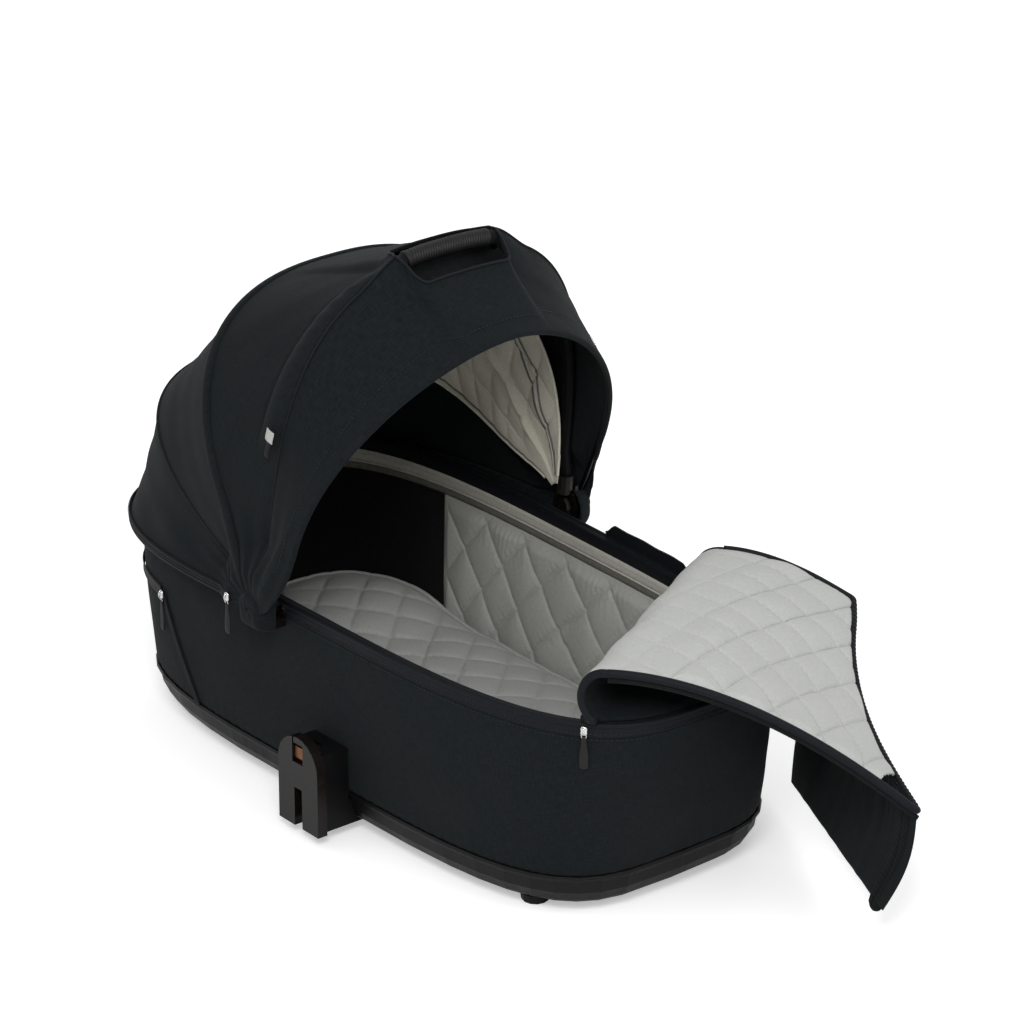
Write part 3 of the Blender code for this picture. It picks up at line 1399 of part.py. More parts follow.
def material(name):
    found = bpy.data.materials.get(name)
    if found:
        return found
    colour, roughness, metallic = COLOURS[name]
    found = bpy.data.materials.new(name)
    found.use_nodes = True
    shader = found.node_tree.nodes["Principled BSDF"]
    shader.inputs["Base Color"].default_value = (*colour, 1.0)
    shader.inputs["Roughness"].default_value = roughness
    shader.inputs["Metallic"].default_value = metallic
    found.diffuse_color = (*colour, 1.0)
    return found


def body(name, pivot, parent=None):
    """Empty on a moving body's joint axis."""
    empty = bpy.data.objects.new(name, None)
    bpy.context.scene.collection.objects.link(empty)
    empty.parent = parent
    empty.location = Vector(pivot) - (Vector(parent["pivot"]) if parent else Vector())
    empty["pivot"] = Vector(pivot)
    return empty


def add(name, mesh, look, carrier=None):
    """Object for one sub-part, hung on its body's empty."""
    pivot = Vector(carrier["pivot"]) if carrier else Vector()
    data = bpy.data.meshes.new(name)
    bmesh.ops.transform(mesh, matrix=Matrix.Translation(-pivot), verts=mesh.verts)
    mesh.to_mesh(data)
    mesh.free()
    data.materials.append(material(look))
    data.shade_smooth()
    data.set_sharp_from_angle(angle=radians(35))
    thing = bpy.data.objects.new(name, data)
    bpy.context.scene.collection.objects.link(thing)
    thing.parent = carrier
    return thing


def side_name(side):
    return "near" if side == NEAR else "far"


def build_tub():
    add("base_pan", base_pan(), "pan_plastic")
    add("floor_board", floor_board(), "board")
    add("mattress", mattress(), "mattress")
    add("side_shell", side_shell(), "shell")
    add("rim_frame", rim_frame(), "aluminium")
    add("body_cover", body_cover(), "black_fabric")
    add("rim_binding", rim_binding(), "black_tape")
    add("liner", liner(), "grey_liner")
    add("head_mesh", head_mesh(), "mesh")
    add("liner_trim", liner_trim(), "taupe_trim")
    add("rim_zip_tape", zip_tape(), "black_tape")
    add("vent_tape", vent_tape(), "black_tape")
    add("vent_mesh", vent_mesh(), "mesh")
    add("rim_stud", rim_stud(), "chrome")


def build_hubs():
    for side in (NEAR, FAR):
        name = side_name(side)
        add(f"hub_bracket_{name}", hub_bracket(side), "gloss_plastic")
        button = body(f"hub_button_body_{name}", (HUB_X, side * HUB_DISC_FACE, HUB_HEIGHT))
        add(f"hub_button_{name}", hub_button(side), "gloss_plastic", button)
        add(f"hub_pin_{name}", hub_pin(side), "steel")
        add(f"hub_spring_{name}", hub_spring(side), "steel")


def build_hood():
    axis = (HUB_X, 0.0, HUB_HEIGHT)
    add("canopy_hem", canopy_hem(), "black_tape")
    rear = body("rear_body", axis)
    add("rear_bow", flat_bow(REAR, "rear", BOW_WIDTH), "aluminium", rear)
    add("canopy_rear", canopy_rear(), "black_fabric", rear)
    mid = body("mid_body", axis, rear)
    add("mid_bow", flat_bow(MID, "mid", BOW_WIDTH), "aluminium", mid)
    add("canopy_back", canopy_back(), "black_fabric", mid)
    handle = body("handle_body", axis, mid)
    add("handle_bow", handle_bow(), "aluminium", handle)
    add("handle_grip", handle_grip(), "rubber", handle)
    add("canopy_crown", canopy_crown(), "black_fabric", handle)
    add("canopy_lining", canopy_lining(), "grey_liner", handle)
    add("side_tag", side_tag(), "label", handle)
    for side in (NEAR, FAR):
        add(f"handle_knuckle_{side_name(side)}", handle_knuckle(side), "gloss_plastic", handle)
    visor = body("visor_body", axis, handle)
    add("visor_bow", flat_bow(VISOR, "visor", VISOR_BOW_WIDTH), "steel", visor)
    add("canopy_visor", canopy_visor(), "black_fabric", visor)


def build_apron():
    crest_near, _, tip, _ = corner_points()
    add("apron_base", apron_base(), "black_fabric")
    pivot = crest_near + Vector((0, 0, APRON_THICKNESS / 2))
    apron = body("apron_body", pivot)
    add("apron_panel", apron_panel(), "apron_lining", apron)
    add("apron_binding", apron_binding(), "black_tape", apron)
    flap = body("flap_body", tip, apron)
    add("wind_flap", wind_flap(), "black_fabric", flap)


def build_zips():
    places = {"apron": apron_slider_place(), "hem": hem_slider_place(), "vent": vent_slider_place()}
    for name, (point, outward) in places.items():
        carrier = body("vent_slider_body", point) if name == "vent" else None
        add(f"{name}_slider", slider(point, outward), "chrome", carrier)
        tab = body(f"{name}_pull_body", pull_pivot(point, outward), carrier)
        add(f"{name}_pull", pull(point, outward), "rubber", tab)


def build_adapters():
    for side in (NEAR, FAR):
        name = side_name(side)
        add(f"adapter_plate_{name}", adapter_plate(side), "gloss_plastic")
        add(f"adapter_arm_{name}", adapter_arm(side), "pan_plastic")
        centre = (ADAPTER_X, side * ADAPTER_FACE, notch_place(1))
        key = body(f"adapter_key_body_{name}", centre)
        add(f"adapter_key_{name}", adapter_key(side), "gloss_plastic", key)
        latch = body(f"adapter_latch_body_{name}", centre)
        add(f"adapter_latch_{name}", adapter_latch(side), "copper", latch)
        add(f"adapter_spring_{name}", adapter_spring(side), "steel")
        for number, x in enumerate(screw_places(), 1):
            add(f"adapter_screw_{name}_{number}", adapter_screw(side, x), "steel")


def main():
    for thing in list(bpy.data.objects):
        bpy.data.objects.remove(thing, do_unlink=True)
    build_tub()
    build_hubs()
    build_hood()
    build_apron()
    build_zips()
    build_adapters()
    bpy.context.view_layer.update()


main()
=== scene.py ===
"""Dressed carrycot: cloth, quilting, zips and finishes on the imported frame, with floor, light and camera."""

from math import cos, pi, radians, sin

import bpy
import numpy as np
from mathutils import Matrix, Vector


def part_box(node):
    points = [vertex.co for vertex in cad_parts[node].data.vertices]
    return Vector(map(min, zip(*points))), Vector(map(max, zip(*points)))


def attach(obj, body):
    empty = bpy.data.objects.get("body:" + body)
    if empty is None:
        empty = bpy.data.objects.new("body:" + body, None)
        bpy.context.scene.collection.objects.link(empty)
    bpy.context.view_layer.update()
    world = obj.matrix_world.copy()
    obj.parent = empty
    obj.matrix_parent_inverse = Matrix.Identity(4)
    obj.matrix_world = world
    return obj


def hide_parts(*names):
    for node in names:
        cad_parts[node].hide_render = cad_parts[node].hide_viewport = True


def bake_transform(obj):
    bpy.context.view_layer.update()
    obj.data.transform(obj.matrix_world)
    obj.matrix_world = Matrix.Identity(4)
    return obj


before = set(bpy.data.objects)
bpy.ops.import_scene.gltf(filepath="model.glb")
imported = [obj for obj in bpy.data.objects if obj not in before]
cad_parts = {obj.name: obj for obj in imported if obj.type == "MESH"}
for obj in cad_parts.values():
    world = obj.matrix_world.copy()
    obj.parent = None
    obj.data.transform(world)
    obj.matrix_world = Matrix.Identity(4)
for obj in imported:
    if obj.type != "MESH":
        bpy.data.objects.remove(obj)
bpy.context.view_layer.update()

# Tub outline at the rim and at the pan's lip: half length, half width, roundness, taper
RIM = (0.420, 0.1866, 3.30, 0.041)
LIP = (0.379, 0.1883, 3.93, 0.043)
RIM_Z, LIP_Z, LIP_SHIFT = 0.222, 0.042, 0.006
BINDING, BINDING_WIDTH = 0.015, 0.0125
COVER_BULGE = 0.002
CLOTH, THIN_CLOTH, LINER_CLOTH = 0.0012, 0.0010, 0.0030
TRIM_LOW, TRIM_HIGH = 0.1826, 0.2066
LINER_START_X = -0.233
LINER_INSET, LINER_LEAN, LINER_LOW = 0.0092, 0.0275, 0.0068
DIAMOND, WALL_DIAMOND, LINING_DIAMOND, APRON_DIAMOND = (0.062, 0.066), (0.072, 0.076), (0.070, 0.060), (0.060, 0.050)
LINER_SWELL, MATTRESS_SWELL, LINING_SWELL, APRON_SWELL = 0.0058, 0.0052, 0.0050, 0.0050
MATTRESS_MARGIN, MATTRESS_LOW, MATTRESS_HEIGHT = 0.0475, 0.0068, 0.057
PILLOW, PILLOW_X, PILLOW_RUN, MATTRESS_CROWN, MATTRESS_CORD = 0.023, -0.12, 0.14, 0.010, 0.0022
ZIP_TAPE = (0.040, 0.190)
VENT_TOP, VENT_FOOT = (-0.270, 0.146), (-0.198, 0.0428)

# Hood: hub axis, and each hoop's angle, half width, reach, roundness and shoulder
HUB = np.array([-0.0526, 0.0, 0.220])
UP = np.array([0.0, 0.0, 1.0])
SKIN = 0.0015
HEM = (182.1, 0.2138, 0.3752, 2.67, 0.065)
REAR = (154.8, 0.2013, 0.3415, 2.79, 0.071)
MID = (117.6, 0.2174, 0.3314, 2.525, 0.111)
HANDLE = (82.2, 0.2036, 0.3612, 2.73, 0.071)
VISOR = (62.0, 0.2140, 0.3420, 1.80, 0.101)
NECK, FABRIC_START, SIDE_Y = 0.041, 0.014, 0.22275
REAR_SAG, BACK_SAG, CROWN_SAG, VISOR_SAG = 0.005, 0.004, 0.001, 0.002
PLEAT_RISE, HUB_FOLDS, HUB_FOLD_RUN = 0.0012, 0.05, 0.055
HEM_TAPER = 0.15
CUTOUT_OUTER, CUTOUT_INNER = 0.064, 0.050
CUTOUT_BACK, CUTOUT_FRONT = 4.2, 6.5
VISOR_TAIL, VISOR_ROLL = 62, 0.0034
SLEEVE_WIDTH, SLEEVE_RISE, SLEEVE_CREASE = 0.036, 0.0056, 0.0012
SLEEVE_START, SLEEVE_END, SLEEVE_RADIUS = 0.0545, 0.118, 0.0078
POCKET_DEPTH, POCKET_DROP = 0.0170, 0.0034
HUB_COVER_HALF, HUB_COVER_TOP, HUB_COVER_LOW, HUB_COVER_Y = 0.0225, 0.0205, 0.0285, 0.2268
TUBE_DROP, GRIP_RISE = 0.0109, 0.0175
GRIP_RADIUS, GRIP_HALF = 0.0098, 0.054
RIB_PITCH, RIB_TURNS = 0.0032, 3
LINING_REACH, LINING_HALF, LINING_BACK, LINING_FRONT, LINING_EDGE = 0.318, 0.1849, 148.5, 78.0, 0.84
LINING_SPLAY, LINING_NARROW = 88.0, 56.0

# Apron: crest, free corners and the flap's lower corners
CREST_NEAR, CREST_FAR = np.array([0.400, -0.118, 0.2825]), np.array([0.223, 0.190, 0.2655])
TIP, CORNER = np.array([0.606, 0.113, 0.1375]), np.array([0.320, 0.285, 0.2145])
FALL_POWER, EDGE_PULL, EDGE_SAG = 1.8, 0.024, 0.006
ROLL_DEPTH, ROLL_TURN = 0.026, radians(150)
APRON_WIDTH, EDGE_THICK, EDGE_THIN, EDGE_UNDER = 0.356, 0.0043, 0.0034, 0.0030
QUILT_CUT, SHELL_CUT = 0.105, 0.15
BEND_BEFORE_CREST, BEND_AFTER_CREST = 0.010, 0.014
FLAP_LOW = np.array([0.598, 0.078, 0.036]), np.array([0.304, 0.216, 0.024])
FLAP_BELLY, FLAP_END, FLAP_BEND = 0.012, 0.96, (0.012, 0.050)
STRIP_HALF = 0.0135
APRON_START_X, APRON_END_X = 0.376, 0.198

# Cut cloth: length and width of each blank
HOOD_LENGTH, REAR_WIDTH, BACK_WIDTH, CROWN_WIDTH, VISOR_WIDTH = 0.86, 0.17, 0.23, 0.20, 0.12

STITCH_LENGTH, STITCH_GAP, STITCH_RADIUS = 0.0034, 0.0016, 0.00035
TAB_TOP, TAB_LENGTH = 0.0008, 0.0368
FLOOR_Z, FLOOR_HALF = -0.008, 6


# Shaders


def shader(name, colour, roughness, metallic=0.0, sheen=0.0, specular=0.5):
    """Material with its constants set on the shader's own sockets."""
    made = bpy.data.materials.new(name)
    made.use_nodes = True
    sockets = made.node_tree.nodes["Principled BSDF"].inputs
    for key, value in (("Base Color", (*colour, 1.0)), ("Roughness", roughness), ("Metallic", metallic),
                       ("Sheen Weight", sheen), ("Sheen Roughness", 0.4), ("Specular IOR Level", specular)):
        sockets[key].default_value = value
    made.diffuse_color = (*colour, 1.0)
    return made


class Graph:
    """Short way to add nodes to a material."""

    def __init__(self, made):
        self.nodes, self.links = made.node_tree.nodes, made.node_tree.links
        self.shader = self.nodes["Principled BSDF"]

    def add(self, kind, **settings):
        node = self.nodes.new(kind)
        for key, value in settings.items():
            if key in node.inputs:
                node.inputs[key].default_value = value
            else:
                setattr(node, key, value)
        return node

    def link(self, out, into):
        self.links.new(out, into)

    def place(self, kind, scale):
        """Texture coordinates, stretched along each axis."""
        place = self.add("ShaderNodeMapping", Scale=scale)
        self.link(self.add("ShaderNodeTexCoord").outputs[kind], place.inputs["Vector"])
        return place.outputs["Vector"]

    def texture(self, kind, where, **settings):
        node = self.add(kind, **settings)
        self.link(where, node.inputs["Vector"])
        return node.outputs

    def noise(self, where, scale, detail=2.0, roughness=0.5):
        return self.texture("ShaderNodeTexNoise", where, Scale=scale, Detail=detail, Roughness=roughness)["Fac"]

    def wave(self, where, direction, scale):
        return self.texture("ShaderNodeTexWave", where, bands_direction=direction, Scale=scale, Distortion=0.0,
                            **{"Detail Scale": 1.5})["Fac"]

    def math(self, operation, first, second):
        node = self.add("ShaderNodeMath", operation=operation)
        for socket, value in zip(node.inputs, (first, second)):
            if isinstance(value, (int, float)):
                socket.default_value = value
            else:
                self.link(value, socket)
        return node.outputs[0]

    def between(self, value, low, high, out_low=0.0, out_high=1.0):
        limits = {"From Min": low, "From Max": high, "To Min": out_low, "To Max": out_high}
        node = self.add("ShaderNodeMapRange", **limits)
        self.link(value, node.inputs["Value"])
        return node.outputs["Result"]

    def colours(self, value, stops):
        node = self.add("ShaderNodeValToRGB")
        ramp = node.color_ramp
        while len(ramp.elements) < len(stops):
            ramp.elements.new(0.5)
        for element, (place, colour) in zip(ramp.elements, stops):
            element.position = place
            element.color = (*colour, 1.0)
        self.link(value, node.inputs["Fac"])
        self.link(node.outputs["Color"], self.shader.inputs["Base Color"])

    def gloss(self, value, low, high, smoothest, roughest):
        self.link(self.between(value, low, high, smoothest, roughest), self.shader.inputs["Roughness"])

    def bump(self, height, distance, strength=1.0):
        node = self.add("ShaderNodeBump", Strength=strength, Distance=distance)
        self.link(height, node.inputs["Height"])
        self.link(node.outputs["Normal"], self.shader.inputs["Normal"])


WAVE_PERIOD = 2 * pi / 20


def cloth_look(name, dark, light, pitch=0.0012, depth=0.00025, roughness=0.85, sheen=0.25, blotch=0.25, where="UV"):
    """Woven cloth: threads both ways, mottled yarn and faint blotches of wear."""
    middle = tuple((a + b) / 2 for a, b in zip(dark, light))
    made = shader(name, middle, roughness, sheen=sheen, specular=0.2)
    g = Graph(made)
    flat = g.place(where, (1, 1, 1))
    warp, weft = (g.wave(flat, direction, WAVE_PERIOD / pitch) for direction in "XY")
    threads = g.math("MULTIPLY", warp, weft)
    yarn_a = g.noise(g.place(where, (1.0, 0.12, 1.0)), 0.9 / pitch, 1.0)
    yarn_b = g.noise(g.place(where, (0.12, 1.0, 1.0)), 0.9 / pitch, 1.0)
    yarn = g.math("ADD", g.math("MULTIPLY", yarn_a, 0.5), g.math("MULTIPLY", yarn_b, 0.5))
    wear = g.noise(g.place("Object", (1, 1, 1)), 14.0, 3.0)
    tone = g.math("ADD", yarn, g.math("MULTIPLY", g.math("SUBTRACT", wear, 0.5), blotch))
    g.colours(g.math("ADD", tone, g.math("MULTIPLY", threads, 0.12)), ((0.36, dark), (0.68, light)))
    g.bump(g.math("ADD", threads, g.math("MULTIPLY", yarn, 0.6)), depth, 0.7)
    g.gloss(wear, 0.3, 0.7, roughness - 0.07, min(1.0, roughness + 0.07))
    return made


def mesh_look(name, dark, light, pitch):
    """Open-mesh cloth: rows of small holes that show dark."""
    made = shader(name, light, 0.9, sheen=0.15, specular=0.2)
    g = Graph(made)
    holes = g.texture("ShaderNodeTexVoronoi", g.place("UV", (1 / pitch, 1 / pitch, 1)), Scale=1.0, Randomness=0.25)
    g.colours(holes["Distance"], ((0.20, dark), (0.42, light)))
    g.bump(holes["Distance"], 0.0006, 0.9)
    return made


def plastic_look(name, colour, roughness, grain=0.0002, scale=900.0, specular=0.4):
    """Moulded plastic: fine grain, faint flow blotches and scuffs that change the gloss."""
    made = shader(name, colour, roughness, specular=specular)
    g = Graph(made)
    where = g.place("Object", (1, 1, 1))
    fine, wide = g.noise(where, scale, 2.0), g.noise(where, 22.0, 4.0)
    scuff = g.noise(g.place("Object", (1.0, 1.0, 0.15)), 130.0, 5.0, 0.7)
    g.colours(wide, ((0.3, tuple(c * 0.82 for c in colour)), (0.7, tuple(min(1, c * 1.18) for c in colour))))
    tone = g.math("ADD", g.math("MULTIPLY", wide, 0.5), g.math("MULTIPLY", scuff, 0.5))
    g.gloss(tone, 0.35, 0.65, max(0.05, roughness - 0.08), roughness + 0.1)
    g.bump(fine, grain, 0.5)
    return made


def metal_look(name, colour, roughness, streak=(1, 1, 40)):
    """Bare or plated metal with fine streaks and faint handling marks."""
    made = shader(name, colour, roughness, metallic=1.0)
    g = Graph(made)
    lines = g.noise(g.place("Object", streak), 160.0, 3.0)
    marks = g.noise(g.place("Object", (1, 1, 1)), 60.0, 4.0)
    g.colours(marks, ((0.3, tuple(c * 0.85 for c in colour)), (0.7, colour)))
    g.gloss(lines, 0.3, 0.7, max(0.03, roughness - 0.05), roughness + 0.1)
    g.bump(lines, 0.00003, 0.4)
    return made


def board_look():
    """Pressed fibre board."""
    made = shader("fibre board", (0.25, 0.21, 0.17), 0.8)
    g = Graph(made)
    fibres = g.noise(g.place("Object", (1, 3, 1)), 400.0, 4.0)
    g.colours(fibres, ((0.35, (0.17, 0.13, 0.10)), (0.65, (0.32, 0.27, 0.21))))
    g.bump(fibres, 0.0002, 0.6)
    return made


# Cloths: dark and light yarn, thread pitch, bump, roughness, sheen and blotches
LOOKS = {
    "canvas": cloth_look("black canvas", (0.0018, 0.0032, 0.0039), (0.0064, 0.0098, 0.0114),
                         0.0011, 0.00022, 0.92, 0.022),
    "tape": cloth_look("black tape", (0.0010, 0.0015, 0.0028), (0.0034, 0.0046, 0.0078), 0.0007, 0.00015, 0.62, 0.02),
    "pad": cloth_look("black padding", (0.0012, 0.0018, 0.0021), (0.0042, 0.0055, 0.0062), 0.0008, 0.0002, 0.88, 0.02),
    "liner": cloth_look("grey liner", (0.335, 0.334, 0.311), (0.425, 0.423, 0.396), 0.0007, 0.00012, 0.90, 0.12, 0.12),
    "mattress": cloth_look("grey mattress", (0.325, 0.326, 0.317), (0.405, 0.406, 0.395),
                           0.0007, 0.00012, 0.90, 0.12, 0.12),
    "pale": cloth_look("pale quilt", (0.390, 0.396, 0.383), (0.475, 0.482, 0.467), 0.0007, 0.00012, 0.88, 0.12, 0.10),
    "hood lining": cloth_look("hood lining", (0.470, 0.450, 0.375), (0.620, 0.595, 0.505),
                              0.0008, 0.00012, 0.88, 0.15, 0.2),
    "taupe": cloth_look("taupe trim", (0.400, 0.390, 0.345), (0.530, 0.516, 0.460), 0.0010, 0.0002, 0.80, 0.2, 0.2),
    "taupe dark": cloth_look("dark taupe trim", (0.105, 0.101, 0.088), (0.165, 0.159, 0.140),
                             0.0010, 0.0002, 0.85, 0.1, 0.2),
    "net": mesh_look("black net", (0.0010, 0.0010, 0.0011), (0.0040, 0.0040, 0.0044), 0.0016),
    "label": cloth_look("blank label", (0.36, 0.36, 0.34), (0.50, 0.50, 0.47), 0.0006, 0.0001, 0.7, 0.1, 0.1),
    "thread": cloth_look("black thread", (0.004, 0.005, 0.006), (0.013, 0.015, 0.017),
                         0.0004, 0.0001, 0.5, 0.1, where="Object"),
    "grey thread": cloth_look("grey thread", (0.26, 0.26, 0.24), (0.38, 0.38, 0.36),
                              0.0004, 0.0001, 0.6, 0.2, where="Object"),
    "pan": plastic_look("satin black plastic", (0.0030, 0.0030, 0.0036), 0.40, 0.00012, 1400.0, specular=0.22),
    "gloss": plastic_look("gloss black plastic", (0.0060, 0.0046, 0.0040), 0.24, 0.00003, 500.0, specular=0.30),
    "rubber": plastic_look("black rubber", (0.0036, 0.0036, 0.0042), 0.55, 0.00015, 1100.0, specular=0.35),
    "shell": plastic_look("shell plastic", (0.030, 0.030, 0.033), 0.6),
    "aluminium": metal_look("black anodised aluminium", (0.018, 0.018, 0.019), 0.50),
    "steel": metal_look("dark steel", (0.030, 0.030, 0.032), 0.45),
    "chrome": metal_look("polished chrome", (0.80, 0.80, 0.80), 0.08),
    "copper": metal_look("copper-coloured metal", (0.260, 0.120, 0.055), 0.38, (40, 1, 1)),
    "board": board_look(),
}

# Looks of the solids that show as they are; * stands for near and far
NODE_LOOKS = {
    "pan": "base_pan adapter_arm_*",
    "gloss": "adapter_plate_* adapter_key_* hub_bracket_* hub_button_* handle_knuckle_*",
    "aluminium": "rim_frame rear_bow mid_bow handle_bow",
    "steel": "visor_bow hub_pin_* hub_spring_* adapter_spring_* adapter_screw_*_1 adapter_screw_*_2",
    "chrome": "rim_stud",
    "copper": "adapter_latch_*",
    "board": "floor_board",
    "shell": "side_shell",
}
for look, names in NODE_LOOKS.items():
    for name in names.split():
        for side in ("near", "far"):
            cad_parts[name.replace("*", side)].material_slots[0].material = LOOKS[look]


# Lines and curves


def unit(vectors):
    return vectors / np.maximum(np.linalg.norm(vectors, axis=-1, keepdims=True), 1e-9)


def smooth(value):
    value = np.clip(value, 0.0, 1.0)
    return value * value * (3 - 2 * value)


def bell(value, middle, width):
    return np.exp(-((value - middle) / width) ** 2)


def powered(value, power):
    """Power of a value that keeps its sign, for rounded squares."""
    return np.sign(value) * np.abs(value) ** power


def waves(distance, period, wobble=0.0):
    return np.sin(2 * pi * distance / period + wobble)


def circle(count):
    return np.linspace(0, 2 * pi, count, endpoint=False)


def lengths(points):
    steps = np.linalg.norm(np.diff(points, axis=0), axis=-1)
    return np.concatenate([[0.0], np.cumsum(steps)])


def at(goals, travel, points):
    """Points at given distances along a line."""
    return np.stack([np.interp(goals, travel, points[:, k]) for k in range(points.shape[1])], axis=-1)


def resample(points, count):
    """Points an equal distance apart on a line."""
    travel = lengths(points)
    return at(np.linspace(0, travel[-1], count), travel, points)


def rings(path, sides, hint=(0, 0, 1), closed=False):
    """Unit circles square to a path, one at each of its points."""
    ahead = unit(np.roll(path, -1, axis=0) - np.roll(path, 1, axis=0) if closed else np.gradient(path, axis=0))
    side, first = np.array(hint, float), []
    for direction in ahead:
        side = unit(side - direction * (side @ direction))
        first.append(side)
    first, turns = np.array(first), circle(sides)[:, None]
    return first[:, None] * np.cos(turns) + np.cross(ahead, first)[:, None] * np.sin(turns)


def normals_of(grid):
    """Unit normals of a grid of points."""
    return unit(np.cross(np.gradient(grid, axis=0), np.gradient(grid, axis=1)))


def ripples(u, v, seed, count=9, low=0.03, high=0.16):
    """Soft random waves over a sheet, between about -1 and 1."""
    draw = np.random.RandomState(seed)
    total = np.zeros(np.broadcast(u, v).shape)
    for _ in range(count):
        angle, period, phase = draw.uniform(0, pi), draw.uniform(low, high), draw.uniform(0, 2 * pi)
        total = total + np.sin(2 * pi * (u * cos(angle) + v * sin(angle)) / period + phase)
    return total / count ** 0.5 / 1.6


def sewn(s, t, a, b, size):
    """Swell of a quilt: 0 on the seams, where a or b is whole, and 1 in a diamond's middle, puckered by the seams."""
    first, second = np.abs(np.sin(pi * a)), np.abs(np.sin(pi * b))
    swell = (first * second) ** 0.36 - 0.22 * (bell(first, 0, 0.07) + bell(second, 0, 0.07))
    along_a, along_b = b * (size[0] + size[1]) / 2, a * (size[0] + size[1]) / 2
    wobble = np.sin(s * 61) + np.sin(t * 83 + 1.7)
    pucker = bell(first, 0, 0.42) * first * waves(along_a, 0.0105, wobble * 2.1)
    pucker += bell(second, 0, 0.42) * second * waves(along_b, 0.0125, wobble * 1.6)
    return swell + 0.24 * pucker


def quilt(s, t, size):
    """Swell of a quilt sewn in diamonds of one width and height."""
    return sewn(s, t, s / size[0] + t / size[1], s / size[0] - t / size[1], size)


# Meshes, and the bodies that the pieces are attached to


def link(name, mesh, look):
    for face in mesh.polygons:
        face.use_smooth = True
    mesh.materials.append(LOOKS[look])
    made = bpy.data.objects.new(name, mesh)
    bpy.context.scene.collection.objects.link(made)
    return made


def build(name, vertices, faces, look):
    mesh = bpy.data.meshes.new(name)
    mesh.from_pydata(vertices, [], faces)
    return link(name, mesh, look)


def surface(name, grid, look, around=False, tube=False, thickness=0.0, inward=1.0):
    """Piece from a grid of points, its UVs in metres. around joins the first and last rows, tube the columns."""
    rows, columns = grid.shape[:2]
    i_end, j_end = rows - (not around), columns - (not tube)
    i, j = np.meshgrid(np.arange(i_end), np.arange(j_end), indexing="ij")
    i, j = i.ravel(), j.ravel()
    i2, j2 = (i + 1) % rows, (j + 1) % columns
    faces = np.stack([i * columns + j, i2 * columns + j, i2 * columns + j2, i * columns + j2], axis=1)
    mesh = bpy.data.meshes.new(name)
    mesh.from_pydata(grid.reshape(-1, 3).tolist(), [], faces.tolist())
    looped_i = np.concatenate([grid, grid[:1]]) if around else grid
    looped_j = np.concatenate([grid, grid[:, :1]], axis=1) if tube else grid
    u = lengths(looped_i[:, columns // 2])
    v = lengths(looped_j[rows // 2])
    corners = (i, j), (i + 1, j), (i + 1, j + 1), (i, j + 1)
    uv = np.stack([np.stack([u[a], v[b]], axis=1) for a, b in corners], axis=1)
    mesh.uv_layers.new(name="UVMap").data.foreach_set("uv", uv.astype(np.float32).ravel())
    made = link(name, mesh, look)
    if thickness:
        solid = made.modifiers.new("thickness", "SOLIDIFY")
        solid.thickness = thickness
        solid.offset = -inward
        solid.use_even_offset = False
    return made


def tube(name, path, radius, look, sides=10, hint=(0, 0, 1), closed=False):
    """Round tube along a path, its ends closed. radius is one number or one for each point."""
    path = np.asarray(path, float)
    ring = rings(path, sides, hint, closed)
    radius = np.broadcast_to(np.asarray(radius, float), (len(path),))
    if not closed:
        path, ring = (np.concatenate([d[:1], d, d[-1:]]) for d in (path, ring))
        radius = np.concatenate([[radius[0] * 0.05], radius, [radius[-1] * 0.05]])
    return surface(name, path[:, None] + ring * radius[:, None, None], look, around=closed, tube=True)


def stitches(name, path, look="thread", closed=False):
    """Row of short sewn stitches on a line that lies on the cloth."""
    if closed:
        path = np.concatenate([path, path[:1]])
    travel = lengths(path)
    vertices, faces = [], []
    for start in np.arange(STITCH_GAP, travel[-1] - STITCH_LENGTH, STITCH_LENGTH + STITCH_GAP):
        begin, end = at(np.array([start, start + STITCH_LENGTH]), travel, path)
        ahead = unit(end - begin)
        side = unit(np.cross(ahead, (0.31, 0.42, 0.85)))
        other = np.cross(ahead, side)
        base = len(vertices)
        for place, share in ((0.0, 0.35), (0.22, 1.0), (0.78, 1.0), (1.0, 0.35)):
            centre = begin + (end - begin) * place
            ring = [side * cos(t) + other * sin(t) for t in circle(6)]
            vertices += [(centre + way * STITCH_RADIUS * share).tolist() for way in ring]
        for first in (base, base + 6, base + 12):
            for k in range(6):
                a, b = first + k, first + (k + 1) % 6
                faces.append((a, b, b + 6, a + 6))
        faces += [tuple(base + k for k in range(5, -1, -1)), tuple(base + 18 + k for k in range(6))]
    return build(name, vertices, faces, look)


def teeth(name, path, up, out, pitch=0.0022, width=0.0018):
    """Row of zip teeth along a path on the cot."""
    travel = lengths(path)
    vertices, faces = [], []
    for s in np.arange(pitch, travel[-1], pitch):
        centre, beyond = at(np.array([s, s + 1e-3]), travel, path)
        axes = (unit(beyond - centre) * pitch * 0.30, np.array(up) * width, np.array(out) * width * 0.45)
        base = len(vertices)
        for c in (-1, 1):
            for a, b in ((-1, -0.6), (-0.5, -1), (0.5, -1), (1, -0.6), (1, 0.6), (0.5, 1), (-0.5, 1), (-1, 0.6)):
                vertices.append((centre + axes[0] * a + axes[1] * b * 0.5 + axes[2] * c).tolist())
        faces += [tuple(base + k for k in range(7, -1, -1)), tuple(base + 8 + k for k in range(8))]
        faces += [(base + k, base + (k + 1) % 8, base + 8 + (k + 1) % 8, base + 8 + k) for k in range(8)]
    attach(build(name, vertices, faces, "rubber"), "cot")


def fit(piece, body, node=None):
    """Hides the solid that a piece takes the place of, and attaches the piece to its body; a piece between two hoops
    only has its placement baked.
    """
    if node:
        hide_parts(node)
    if isinstance(body, tuple):
        follow(piece, *body)
    else:
        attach(piece, body)
    return piece


